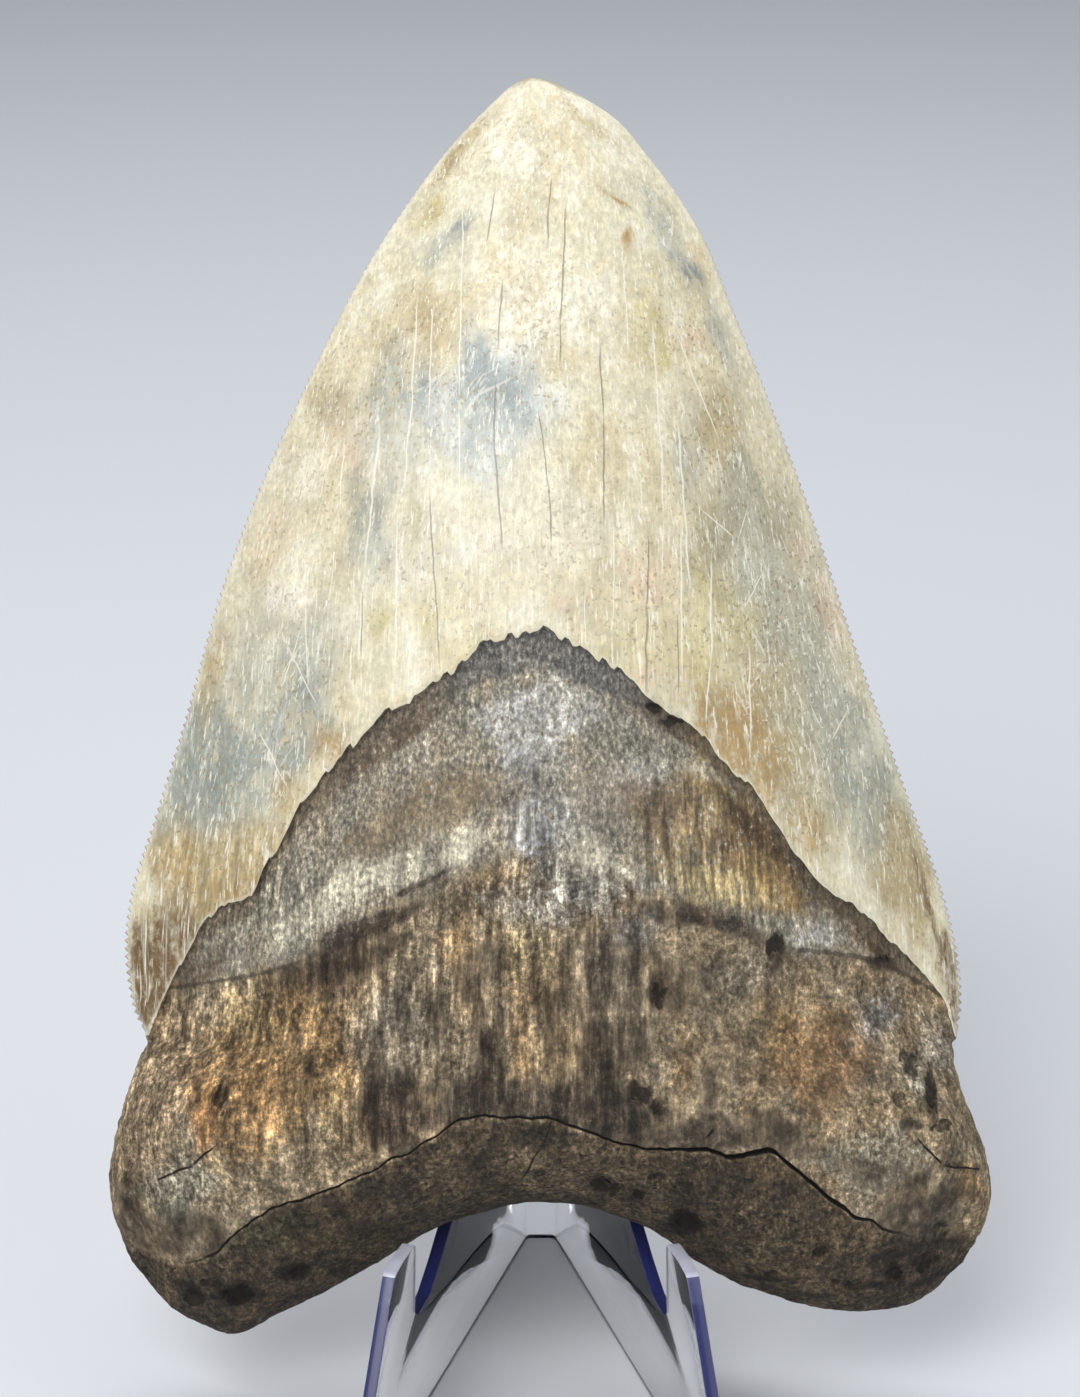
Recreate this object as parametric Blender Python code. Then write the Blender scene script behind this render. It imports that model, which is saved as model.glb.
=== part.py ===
"""Fossil tooth of a megalodon shark, leaning in a small clear easel.

The tooth is laid out in its own plane, in millimetres: x to the right, w up from the top of
the root's arch, t out of the tongue side, which faces forward. It is then leaned back and
set down in the easel, a bent sheet that stands on z = 0. The easel is laid out in plan and
along its wings, in millimetres too.
"""
import math

import bmesh
import bpy
import numpy as np
from mathutils import Vector, noise

for old in list(bpy.data.objects):
    bpy.data.objects.remove(old, do_unlink=True)

MM = 0.001

# How the tooth stands: lean from upright, and where the top of the root's arch is
LEAN_DEG = 22.0
ARCH_PLACE = (-0.5, -9.9, 22.8)

# Outline of the tooth, from root to tip, as (w, x)
LEFT_SIDE = [(-6.4, -49.8), (-2.0, -51.9), (4.5, -52.7), (12.0, -51.1), (18.4, -49.1),
             (20.3, -48.0), (22.4, -49.2), (26.5, -50.3), (31.5, -50.7), (37.8, -49.9),
             (46.0, -47.3), (57.7, -43.7), (75.2, -38.7), (96.9, -29.8), (118.6, -18.1),
             (129.5, -10.4), (134.9, -5.4)]
RIGHT_SIDE = [(-6.7, 50.5), (-2.5, 53.1), (3.8, 53.8), (10.6, 51.8), (16.0, 50.0),
              (19.6, 49.5), (23.4, 50.2), (28.2, 50.1), (34.8, 48.8), (49.9, 43.6),
              (65.5, 38.1), (86.0, 31.2), (107.7, 22.8), (118.6, 18.1), (126.5, 12.5),
              (131.6, 7.8), (134.2, 3.6)]

# Where the front is looked at from: this far out of the tooth, over this (x, w)
VIEW_DISTANCE = 480.0
VIEW_CENTRE = (-0.6, 60.9)

# Curves across the front, from left to right, as (x, w). The crack, the enamel line and the
# pits are given as they look from there, and pulled_in allows for how far they stand forward
ROOT_MARGIN = [(-49.8, -6.4), (-45.6, -11.6), (-41.5, -14.1), (-37.1, -15.3), (-31.7, -13.0),
               (-22.3, -8.2), (-14.0, -3.2), (-6.7, -0.6), (-0.6, 0.4), (6.6, -0.6),
               (13.1, -3.5), (18.4, -6.9), (24.7, -10.0), (31.9, -12.2), (39.2, -12.6),
               (45.4, -11.2), (50.5, -6.7)]
ROOT_CRACK = [(-52.0, -4.0), (-42.9, -6.6), (-36.0, -2.4), (-28.8, 1.1), (-18.7, 5.2),
              (-10.6, 10.0), (-4.2, 10.4), (2.4, 9.6), (12.8, 6.6), (19.0, 6.7),
              (26.5, 6.9), (31.2, 3.4), (35.9, -0.2), (41.0, -2.4), (52.5, -3.8)]
ENAMEL_LINE = [(-48.0, 20.3), (-46.4, 24.0), (-41.4, 33.0), (-35.3, 37.6), (-30.6, 46.2),
               (-25.3, 53.1), (-20.0, 58.8), (-12.0, 63.5), (-7.3, 67.6), (0.1, 69.2),
               (5.0, 66.9), (12.4, 61.4), (20.0, 55.4), (26.3, 48.4), (31.0, 41.2),
               (37.6, 35.7), (43.4, 30.2), (47.8, 25.4), (49.5, 20.3)]
ENAMEL_LINE_BACK = [(-48.0, 20.3), (-38.0, 24.5), (-20.0, 27.5), (0.0, 29.0), (20.0, 27.5),
                    (38.0, 24.5), (49.5, 20.3)]
TIP_ARC = [(-5.4, 134.9), (-2.4, 136.0), (0.6, 135.8), (3.6, 134.2)]

# Thickness down the middle, as (w, t): the front swells forward and the back is flatter
FRONT_SWELL = [(-15.0, 13.0), (0.0, 17.5), (12.0, 20.8), (24.0, 20.6), (40.0, 19.6),
               (55.0, 18.4), (70.0, 17.0), (85.0, 14.8), (100.0, 11.6), (115.0, 7.8),
               (125.0, 4.8), (131.0, 2.8), (136.0, 0.9)]
BACK_SWELL = [(-15.0, 8.0), (8.0, 9.0), (25.0, 7.4), (40.0, 5.6), (60.0, 4.6), (100.0, 3.4),
              (125.0, 1.9), (136.0, 0.6)]
HALF_WIDTH = 52.0
RIM_FORWARD = 3.0
FRONT_ROOT_ROUND = 13.0
BACK_ROOT_ROUND = 7.0
ROOT_TO_CROWN = (10.0, 27.0)
BACK_HOLLOW = 1.3
TIP_BEND = 2.0

# Surface relief
ENAMEL_STEP = 0.7
ENAMEL_STEP_BACK = 0.5
STEP_RUN = 0.35
CRACK_DEPTH = 1.3
CRACK_HALF_WIDTH = 0.7
ROOT_LUMPS = 0.55
CROWN_LUMPS = 0.15
ROOT_PITS = [((17.0, -2.2), 2.6, 1.4), ((-39.0, 12.0), 2.8, 1.1), ((28.0, 31.0), 2.6, 0.9),
             ((11.6, 13.0), 2.4, 0.8), ((-36.5, -10.5), 2.8, 0.9), ((44.0, -6.0), 4.0, 0.9)]

# Serrations of the cutting edges
SERRATION_PITCH = 0.95
SERRATION_REACH = (21.5, 131.0)
SERRATION_DEPTH = [(20.0, 0.5), (60.0, 0.42), (100.0, 0.3), (135.0, 0.12)]

# Mesh of the tooth
COLUMNS = 28
ROWS_UNDER_CRACK = 8
ROWS_OVER_CRACK = 12
ROWS_CROWN = 35

# Easel: one sheet with a flat spine and two wings that splay forward
SHEET = 1.6
SPINE_PLACE = (-1.0, 22.6)
SPINE_FLAT = 2.4
BEND_RADIUS = 1.6
BEND_STEPS = 5
WING_SPLAY_DEG = 16.7
WING_LENGTH = 67.0
SPINE_HEIGHT = 62.0


def smooth_curve(points):
    """A function that runs smoothly through points set by hand, as (place, value)."""
    place, value = np.array(points, float).T
    slope = np.gradient(value, place)

    def at(query):
        q = np.clip(query, place[0], place[-1])
        k = np.clip(np.searchsorted(place, q, side="right") - 1, 0, len(place) - 2)
        span = place[k + 1] - place[k]
        f = (q - place[k]) / span
        return (value[k] * (1 + 2 * f) * (1 - f) ** 2 + value[k + 1] * f * f * (3 - 2 * f)
                + span * f * (1 - f) * (slope[k] * (1 - f) - slope[k + 1] * f))

    return at


def ease(value, low, high):
    """Rise smoothly from 0 at low to 1 at high."""
    f = np.clip((value - low) / (high - low), 0.0, 1.0)
    return f * f * (3 - 2 * f)


front_swell = smooth_curve(FRONT_SWELL)
back_swell = smooth_curve(BACK_SWELL)


def pulled_in(points):
    """Points of the front moved from where they look to be to where they are."""
    moved = []
    for x, w in points:
        bow = 1 - min(1.0, abs(x) / HALF_WIDTH) ** 2.4
        share = 1 - float(front_swell(w)) * bow / VIEW_DISTANCE
        moved.append((VIEW_CENTRE[0] + (x - VIEW_CENTRE[0]) * share,
                      VIEW_CENTRE[1] + (w - VIEW_CENTRE[1]) * share))
    return moved


left_side = smooth_curve(LEFT_SIDE)
right_side = smooth_curve(RIGHT_SIDE)
root_margin = smooth_curve(ROOT_MARGIN)
root_crack = smooth_curve(pulled_in(ROOT_CRACK))
enamel_line = smooth_curve(pulled_in(ENAMEL_LINE))
enamel_line_back = smooth_curve(ENAMEL_LINE_BACK)
tip_arc = smooth_curve(TIP_ARC)
pit_places = pulled_in([pit[0] for pit in ROOT_PITS])


def across(u, w):
    """x of the point that is a share u (-1 left edge, 1 right edge) of the way across at w."""
    return left_side(w) * (1 - u) / 2 + right_side(w) * (1 + u) / 2


def settle(u, curve):
    """Heights w at which a curve given over x crosses the columns u."""
    w = curve(across(u, 20.0))
    for _ in range(60):
        w = 0.5 * w + 0.5 * curve(across(u, w))
    return w


def margin_distance(x, w):
    """Roughly how far a point of the root is from the lower margin."""
    slope = (root_margin(x + 0.5) - root_margin(x - 0.5))
    return np.maximum(w - root_margin(x), 0.0) / np.sqrt(1 + slope ** 2)


def rounded(distance, radius):
    """Height share of a quarter-round edge at a distance from it."""
    return np.sqrt(1 - (1 - np.clip(distance / radius, 0, 1)) ** 2)


def lumps(x, w, salt, scale):
    """Smooth seeded bumps between about -1 and 1."""
    flat = [noise.noise(Vector((a / scale, b / scale, salt)))
            for a, b in zip(np.ravel(x), np.ravel(w))]
    return np.array(flat).reshape(np.shape(x)) * 1.6


def pits(x, w):
    """Depth of the larger pits in the root."""
    depth = np.zeros(np.shape(x))
    for (px, pw), (_, radius, deep) in zip(pit_places, ROOT_PITS):
        depth += deep * np.exp(-((x - px) ** 2 + (w - pw) ** 2) / (0.5 * radius) ** 2 / 2)
    return depth


def sheet_height(u, w, line_w, front):
    """t of the front or back surface at share u across and height w."""
    x = across(u, w)
    crown = ease(w, *ROOT_TO_CROWN)
    margin = margin_distance(x, w)
    rim = RIM_FORWARD * (1 - crown)
    edge = 1 - np.abs(u)
    if front:
        crown_bow = (1 - np.abs(u) ** 2.1) ** 1.05
        root_bow = (1 - np.abs(u) ** 2.8) ** 0.5
        bow = crown_bow * crown + root_bow * (1 - crown)
        t = rim + (front_swell(w) - rim) * bow * rounded(margin, FRONT_ROOT_ROUND)
        step, side = ENAMEL_STEP, 1.0
    else:
        crown_bow = 1 - np.abs(u) ** 2.6
        root_bow = (1 - np.abs(u) ** 3) ** 0.5
        bow = crown_bow * crown + root_bow * (1 - crown)
        hollow = BACK_HOLLOW * np.exp(-(x / 17) ** 2) * ease(w, 2, 14) * (1 - ease(w, 40, 75))
        t = rim - (back_swell(w) - hollow + rim) * bow * rounded(margin, BACK_ROOT_ROUND)
        step, side = ENAMEL_STEP_BACK, -1.0
    below = line_w - w
    sunk = np.where(below > 0, ease(below, 0, STEP_RUN) * (0.35 + 0.65 * np.exp(-below / 9)), 0)
    relief = -step * sunk
    relief += ROOT_LUMPS * lumps(x, w, 3.1 * side, 11.0) * (1 - crown)
    relief += CROWN_LUMPS * lumps(x, w, 9.7 * side, 16.0) * crown
    if front:
        relief -= pits(x, w)
    quiet = ease(edge, 0.0, 0.12) * ease(margin + 40 * crown, 0.0, 5.0)
    bend = TIP_BEND * np.clip(w / 136.0, 0, 1) ** 3
    return t + side * relief * quiet - bend


def serrated_edge(side_curve, low, high, inward):
    """Points down one cutting edge from low to high, a valley and a peak for each serration."""
    w = np.linspace(low, high, 2000)
    x = side_curve(w)
    run = np.concatenate([[0.0], np.cumsum(np.hypot(np.diff(x), np.diff(w)))])
    start = np.interp(SERRATION_REACH[0], w, run)
    count = int((np.interp(SERRATION_REACH[1], w, run) - start) / SERRATION_PITCH)
    stops = start + SERRATION_PITCH / 2 * np.arange(2 * count + 1)
    stop_w = np.interp(stops, run, w)
    depth = smooth_curve(SERRATION_DEPTH)(stop_w) * (np.arange(2 * count + 1) % 2)
    return stop_w, side_curve(stop_w) + inward * depth


def tooth_mesh():
    """The closed tooth: front and back surfaces that meet in one serrated rim."""
    v = np.linspace(-1, 1, COLUMNS + 1)
    u = 0.45 * v + 0.55 * np.sin(v * math.pi / 2)
    low = root_margin(across(u, -20.0))
    crack = settle(u, root_crack)
    line = settle(u, enamel_line)
    line_back = settle(u, enamel_line_back)
    top = tip_arc(across(u, 140.0))

    near = CRACK_HALF_WIDTH
    rows = [low + (crack - near - low) * (k / ROWS_UNDER_CRACK) ** 1.5
            for k in range(ROWS_UNDER_CRACK + 1)]
    rows += [crack, crack + near]
    over = line - STEP_RUN - crack - near
    rows += [crack + near + over * k / ROWS_OVER_CRACK for k in range(1, ROWS_OVER_CRACK + 1)]
    root_rows = len(rows)
    for k in range(ROWS_CROWN + 1):
        rows.append(line + (top - line) * (1 - (1 - k / ROWS_CROWN) ** 1.12))
    front_w = np.array(rows)
    crack_row = ROWS_UNDER_CRACK + 1

    # The back shares the rim heights of the front and spreads its rows evenly inside
    span = line_back - STEP_RUN - low
    even = np.linspace(0, 1, root_rows)[:, None] ** 1.15
    share_left = (front_w[:root_rows, :1] - low[0]) / span[0]
    share_right = (front_w[:root_rows, -1:] - low[-1]) / span[-1]
    rim_share = share_left + (share_right - share_left) * (u + 1) / 2
    inside = 1 - np.abs(u) ** 8
    share = rim_share + (even - rim_share) * inside
    back_w = front_w.copy()
    back_w[:root_rows] = low + span * share
    crown_share = (front_w[root_rows:] - line) / (top - line)
    back_w[root_rows:] = line_back + (top - line_back) * crown_share

    def surface(w, line_w, front):
        t = np.array([sheet_height(u, row, line_w, front) for row in w])
        if front:
            fade = ease(1 - np.abs(u), 0.04, 0.16)
            t[crack_row] -= CRACK_DEPTH * fade
        return t

    front_t = surface(front_w, line, True)
    back_t = surface(back_w, line_back, False)

    mesh = bmesh.new()

    def add(x, w, t):
        return mesh.verts.new((x * MM, w * MM, t * MM))

    def rim_point(x, w):
        crown = ease(w, *ROOT_TO_CROWN)
        return add(x, w, RIM_FORWARD * (1 - crown) - TIP_BEND * np.clip(w / 136.0, 0, 1) ** 3)

    last = len(front_w) - 1
    grids = []
    for w, t in ((front_w, front_t), (back_w, back_t)):
        grid = []
        for r in range(last + 1):
            row = []
            for c in range(COLUMNS + 1):
                on_rim = r in (0, last) or c in (0, COLUMNS)
                crown_side = c in (0, COLUMNS) and root_rows < r < last
                if crown_side:
                    row.append(None)
                elif on_rim and grids:
                    row.append(grids[0][r][c])
                elif on_rim:
                    row.append(rim_point(across(u[c], w[r, c]), w[r, c]))
                else:
                    row.append(add(across(u[c], w[r, c]), w[r, c], t[r, c]))
            grid.append(row)
        grids.append(grid)

    edges = {}
    for c, side_curve, inward in ((0, left_side, 1.0), (COLUMNS, right_side, -1.0)):
        edge_w, edge_x = serrated_edge(side_curve, front_w[root_rows, c], front_w[last, c],
                                       inward)
        points = [rim_point(x, w) for x, w in zip(edge_x, edge_w)]
        edges[c] = [grids[0][root_rows][c]] + points + [grids[0][last][c]]

    def face(corners, front):
        mesh.faces.new(corners if front else corners[::-1])

    def quad(corners, front):
        """Two triangles split along the shorter diagonal."""
        a, b, c, d = corners
        if (a.co - c.co).length < (b.co - d.co).length:
            face([a, b, c], front)
            face([a, c, d], front)
        else:
            face([a, b, d], front)
            face([b, c, d], front)

    def zip_edge(inner, outer, left, front):
        """Triangles between an inner column and the longer serrated edge."""
        i = o = 0
        while i < len(inner) - 1 or o < len(outer) - 1:
            step_inner = o == len(outer) - 1 or (
                i < len(inner) - 1 and inner[i + 1].co.y < outer[o + 1].co.y)
            if step_inner:
                corners = [outer[o], inner[i], inner[i + 1]]
                i += 1
            else:
                corners = [outer[o], inner[i], outer[o + 1]]
                o += 1
            face(corners if left else corners[::-1], front)

    for grid, front in ((grids[0], True), (grids[1], False)):
        for r in range(last):
            for c in range(COLUMNS):
                if r >= root_rows and c in (0, COLUMNS - 1):
                    continue
                quad([grid[r][c], grid[r][c + 1], grid[r + 1][c + 1], grid[r + 1][c]], front)
        for c, inner_c in ((0, 1), (COLUMNS, COLUMNS - 1)):
            inner = [grid[r][inner_c] for r in range(root_rows, last + 1)]
            zip_edge(inner, edges[c], c == 0, front)
    return mesh


def make_object(name, mesh_data, colour, roughness, alpha=1.0):
    """A named object with its own material."""
    data = bpy.data.meshes.new(name)
    mesh_data.to_mesh(data)
    mesh_data.free()
    made = bpy.data.objects.new(name, data)
    bpy.context.scene.collection.objects.link(made)
    finish = bpy.data.materials.new(name + "_finish")
    finish.use_nodes = True
    shader = finish.node_tree.nodes["Principled BSDF"]
    shader.inputs["Base Color"].default_value = (*colour, 1.0)
    shader.inputs["Roughness"].default_value = roughness
    shader.inputs["Metallic"].default_value = 0.0
    shader.inputs["Alpha"].default_value = alpha
    data.materials.append(finish)
    return made


def wing_profile():
    """Upright outline of one wing as (distance from the spine, z), from its foot forward."""
    return [(WING_LENGTH, 0.0), (51.8, 23.8), (49.0, 24.1), (44.2, 23.9), (44.9, 14.8),
            (43.9, 14.0), (39.5, 14.2), (35.0, 16.6), (30.6, 19.4), (27.0, 20.4),
            (24.4, 21.5), (22.8, 22.9), (21.7, 24.9), (10.6, SPINE_HEIGHT)]


def stand_mesh():
    """The bent sheet: plan path of its middle surface, given thickness and height."""
    half = SHEET / 2
    splay = math.radians(WING_SPLAY_DEG)
    turn = math.pi / 2 - splay
    spine_x, spine_y = SPINE_PLACE
    path = [(0.0, spine_y, 0.0)]
    corner_x = SPINE_FLAT / 2
    for k in range(BEND_STEPS + 1):
        a = turn * k / BEND_STEPS
        path.append((corner_x + BEND_RADIUS * math.sin(a),
                     spine_y - BEND_RADIUS * (1 - math.cos(a)), a))
    end_x, end_y, _ = path[-1]
    forward = (math.sin(splay), -math.cos(splay))
    outward = (math.cos(splay), math.sin(splay))
    profile = wing_profile()
    mesh = bmesh.new()

    def add(x, y, z):
        return mesh.verts.new(((spine_x + x) * MM, y * MM, z * MM))

    def pillar(x, y, a, side):
        """Foot and head points of the inner and outer faces at one place of the bend."""
        out = (math.sin(a), math.cos(a))
        return {(face, z): add(side * (x + face * half * out[0]), y + face * half * out[1], z)
                for face in (-1, 1) for z in (0.0, SPINE_HEIGHT)}

    def quad(corners, side):
        mesh.faces.new(corners if side > 0 else corners[::-1])

    head = SPINE_HEIGHT
    middle = {}
    for side in (1, -1):
        before = None
        for k, (x, y, a) in enumerate(path):
            if k == 0:
                now = middle or pillar(x, y, a, 1)
                middle = now
            else:
                now = pillar(x, y, a, side)
                quad([before[1, 0.0], before[1, head], now[1, head], now[1, 0.0]], side)
                quad([before[-1, 0.0], now[-1, 0.0], now[-1, head], before[-1, head]], side)
                quad([before[1, 0.0], now[1, 0.0], now[-1, 0.0], before[-1, 0.0]], side)
                quad([before[1, head], before[-1, head], now[-1, head], now[1, head]], side)
            before = now
        rings = {}
        for face in (-1, 1):
            rings[face] = [before[face, 0.0]]
            for s, z in profile:
                x = end_x + forward[0] * s + face * half * outward[0]
                y = end_y + forward[1] * s + face * half * outward[1]
                rings[face].append(add(side * x, y, z))
            rings[face].append(before[face, head])
        quad(rings[1][::-1], side)
        quad(rings[-1], side)
        for k in range(len(profile) + 1):
            quad([rings[1][k], rings[1][k + 1], rings[-1][k + 1], rings[-1][k]], side)
    return mesh


lean = math.radians(LEAN_DEG)
tooth_body = tooth_mesh()
tooth = make_object("tooth", tooth_body, (0.62, 0.55, 0.42), 0.35)
tooth.rotation_euler = (math.pi / 2 - lean, 0.0, 0.0)
tooth.location = [value * MM for value in ARCH_PLACE]
for polygon in tooth.data.polygons:
    polygon.use_smooth = True
tooth.data.set_sharp_from_angle(angle=math.radians(35))

stand = make_object("stand", stand_mesh(), (0.80, 0.84, 0.95), 0.05, 0.35)
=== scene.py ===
import math

import bmesh
import bpy
import numpy as np
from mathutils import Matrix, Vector, noise


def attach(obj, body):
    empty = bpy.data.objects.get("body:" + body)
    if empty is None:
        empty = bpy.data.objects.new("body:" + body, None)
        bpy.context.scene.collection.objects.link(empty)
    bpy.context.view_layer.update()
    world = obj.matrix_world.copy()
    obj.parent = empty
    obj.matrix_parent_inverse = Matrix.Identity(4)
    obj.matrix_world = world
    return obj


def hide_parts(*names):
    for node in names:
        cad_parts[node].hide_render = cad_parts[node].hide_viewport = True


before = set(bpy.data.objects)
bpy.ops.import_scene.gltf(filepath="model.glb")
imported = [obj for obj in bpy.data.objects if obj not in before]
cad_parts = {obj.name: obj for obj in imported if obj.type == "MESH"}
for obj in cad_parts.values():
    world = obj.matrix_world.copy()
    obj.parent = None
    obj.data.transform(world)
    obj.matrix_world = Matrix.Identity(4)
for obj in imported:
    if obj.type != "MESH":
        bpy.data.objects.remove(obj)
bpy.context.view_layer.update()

# The tooth
# One fossil tooth: a glossy enamel crown with serrated cutting edges, a matt band of dentine
# under it, and a heavy two-lobed root, all turned to stone. It leans back on the easel.
# It is laid out in its own plane in millimetres: x right, w up, t out of the front.

MM = 0.001
LEAN = math.radians(22.0)
ARCH_PLACE = Vector((-0.5, -9.9, 22.8))

# Where the front is looked at from: this far out of the tooth, over this (x, w)
VIEW_DISTANCE = 480.0
VIEW_CENTRE = (-0.6, 60.9)

LEFT_SIDE = [(-6.4, -49.8), (-2, -51.9), (4.5, -52.7), (12, -51.1), (18.4, -49.1), (20.3, -48),
             (22.4, -49.2), (26.5, -50.3), (31.5, -50.7), (37.8, -49.9), (46, -47.3), (57.7, -43.7),
             (75.2, -38.7), (96.9, -29.8), (118.6, -18.1), (129.5, -9.8), (134.9, -4.3)]
RIGHT_SIDE = [(-6.7, 50.5), (-2.5, 53.1), (3.8, 53.8), (10.6, 51.8), (16, 50), (19.6, 49.5), (23.4, 50.2),
              (28.2, 50.1), (34.8, 48.8), (49.9, 43.6), (65.5, 38.1), (86, 31.2), (107.7, 22.8),
              (118.6, 18.1), (126.5, 12.5), (131.6, 7.8), (134.2, 3.6)]
ROOT_MARGIN = [(-49.8, -6.4), (-45.6, -11.6), (-41.5, -14.1), (-37.1, -15.3), (-31.7, -13), (-22.3, -8.2),
               (-14, -3.2), (-6.7, -0.6), (-0.6, 0.4), (6.6, -0.6), (13.1, -3.5), (18.4, -6.9),
               (24.7, -10), (31.9, -12.2), (39.2, -12.6), (45.4, -11.2), (50.5, -6.7)]
ROOT_CRACK = [(-52, -4), (-42.9, -6.6), (-38.6, -4.6), (-36, -2.4), (-33.1, -0.4), (-28.8, 1.1),
              (-23.7, 2.7), (-18.7, 5.2), (-14.3, 7.3), (-10.6, 10), (-4.2, 10.4), (2.4, 9.6), (4.8, 8.7),
              (12.8, 6.6), (19, 6.7), (23.3, 5.8), (26.5, 6.9), (31.2, 3.4), (35.9, -0.2), (41, -2.4),
              (52.5, -3.8)]
CRACK_DEPTH = [(-46, 0), (-40, 0.2), (-20, 0.35), (-9, 0.3), (2, 0.45), (12, 0.8), (26.5, 1), (34, 0.7),
               (40, 0.35), (45, 0)]
ENAMEL_LINE = [(-48, 20.3), (-46.5, 24), (-44.1, 28.6), (-41.4, 33.3), (-38.4, 36.3), (-35.3, 37.4),
               (-33.9, 40.4), (-31.7, 43.7), (-29.6, 48), (-27.8, 50.2), (-25.3, 53.1), (-22.9, 55.4),
               (-20.7, 58), (-18.3, 59.8), (-15.8, 60.8), (-13, 63), (-11.2, 64), (-7.3, 67.6),
               (-4.1, 68.2), (0.1, 69.2), (2.5, 67.8), (4.7, 67), (6.9, 65.2), (10.7, 62.9), (12.4, 61.2),
               (14.6, 59.6), (16.4, 58.5), (18.8, 56.7), (20.6, 54.3), (24.1, 50.8), (26.3, 48.4),
               (28.3, 45.2), (31.2, 41), (34, 38), (37.6, 35.7), (41.1, 32.2), (44, 29.6), (46.4, 27),
               (48.3, 24.3), (49.5, 20.3)]
ENAMEL_LINE_BACK = [(-48, 20.3), (-38, 24.5), (-20, 27.5), (0, 29), (20, 27.5), (38, 24.5), (49.5, 20.3)]
COLLAR_FOOT = [(-49, 25.3), (-43, 26.2), (-30, 29), (-17.5, 36), (-8, 40.8), (0, 42.3), (8, 39.4),
               (18.7, 35), (26.5, 31.6), (41.5, 28.6), (50, 24)]
TIP_ARC = [(-4.3, 134.9), (-2.4, 135.9), (0.6, 135.7), (3.6, 134.2)]
FRONT_SWELL = [(-15, 13), (0, 17.5), (12, 20.8), (24, 20.6), (40, 19.6), (55, 18.4), (70, 17), (85, 14.8),
               (100, 11.6), (115, 7.8), (125, 4.8), (131, 2.8), (136, 0.9)]
BACK_SWELL = [(-15, 8), (8, 9), (25, 7.4), (40, 5.6), (60, 4.6), (100, 3.4), (125, 1.7), (136, 0.3)]
HALF_WIDTH = 52.0
SIDE_TRIM = 0.9994
RIM_FORWARD = 3.0
FRONT_ROOT_ROUND = 13.0
BACK_ROOT_ROUND = 7.0
ROOT_TO_CROWN = (10.0, 27.0)
BACK_HOLLOW = 1.3
TIP_BEND = 2.0
TIP_HEIGHT = 136.0
ENAMEL_STEP = 0.7
ENAMEL_STEP_BACK = 0.5
STEP_RUN = 0.3
ROOT_LUMPS = 0.55
CROWN_LUMPS = 0.15
SERRATION_PITCH = 0.95
SERRATION_REACH = (21.5, 131.0)
SERRATION_DEPTH = 0.5
SERRATION_FADE = [(20, 1), (60, 0.84), (100, 0.6), (135, 0.24)]

# Holes in the root and the band, as (x, w, half width, half height, depth)
ROOT_PITS = [(17, -2.6, 1.7, 1.2, 1.5), (11.4, 0.6, 0.8, 0.7, 0.8), (13.4, 2.9, 0.9, 0.6, 0.7),
             (6.6, 1.7, 1, 0.9, 0.9), (33.1, -5.5, 0.9, 0.7, 0.8), (27.7, 31.2, 0.8, 1.1, 0.9),
             (13.9, 25.2, 0.7, 1.7, 0.8), (11.5, 13.2, 1.3, 1.2, 0.8), (13.6, 11.8, 0.8, 0.7, 0.7),
             (0.4, 50.5, 0.7, 0.7, 0.5), (-36.7, -10.8, 1.6, 1, 1.1), (-42.2, -11.2, 1.2, 0.9, 0.9),
             (-29.5, -8, 1.2, 0.8, 0.8), (-38.9, 12.9, 0.5, 2.2, 0.9), (45.5, -6.5, 1.6, 1.2, 0.8),
             (41.8, -7.8, 1, 0.9, 0.8), (47.2, -2.8, 0.9, 1.1, 0.7), (44, 17.5, 1.2, 1.8, 0.7),
             (42.4, 13.2, 0.8, 1, 0.6), (24.6, -8.6, 0.9, 0.6, 0.7), (37, -9.8, 1.1, 0.7, 0.7),
             (13.5, 59.9, 1.2, 0.7, 0.9), (15.5, 58.2, 1.3, 0.6, 0.9), (46.2, 14.6, 0.5, 2.8, 0.8),
             (47.3, 10.2, 1.2, 0.6, 0.7), (40.9, 29.2, 1.5, 0.5, 0.6), (35.6, -9.4, 1.6, 0.4, 0.6),
             (27.2, -8.9, 1.3, 0.4, 0.6), (-40, -9.4, 1.8, 0.5, 0.7), (8.6, 1.2, 1.2, 0.6, 0.7),
             (27.2, -2.6, 1, 0.4, 0.5), (26.1, -3.9, 0.7, 0.5, 0.5)]

# How finely the mesh is cut, and how closely curves are followed
COLUMNS = 232
ROWS_UNDER_CRACK = 38
ROWS_OVER_CRACK = 118
CRACK_ROWS = (-0.24, -0.11, 0.0, 0.11, 0.24)
CRACK_SHAPE = (0.0, 0.6, 1.0, 0.6, 0.0)
EDGE_COLUMNS = 4
CROWN_STRIDE = 3
SETTLE_STEPS = 60
EDGE_SAMPLES = 3000


def smooth_curve(points):
    """A function that runs smoothly through given points, as (place, value)."""
    place, value = np.array(points, float).T
    slope = np.gradient(value, place)

    def at(query):
        q = np.clip(query, place[0], place[-1])
        k = np.clip(np.searchsorted(place, q, side="right") - 1, 0, len(place) - 2)
        span = place[k + 1] - place[k]
        f = (q - place[k]) / span
        return (value[k] * (1 + 2 * f) * (1 - f) ** 2 + value[k + 1] * f * f * (3 - 2 * f)
                + span * f * (1 - f) * (slope[k] * (1 - f) - slope[k + 1] * f))

    return at


def ease(value, low, high):
    """Rise smoothly from 0 at low to 1 at high."""
    f = np.clip((value - low) / (high - low), 0.0, 1.0)
    return f * f * (3 - 2 * f)


front_swell = smooth_curve(FRONT_SWELL)
back_swell = smooth_curve(BACK_SWELL)


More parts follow.
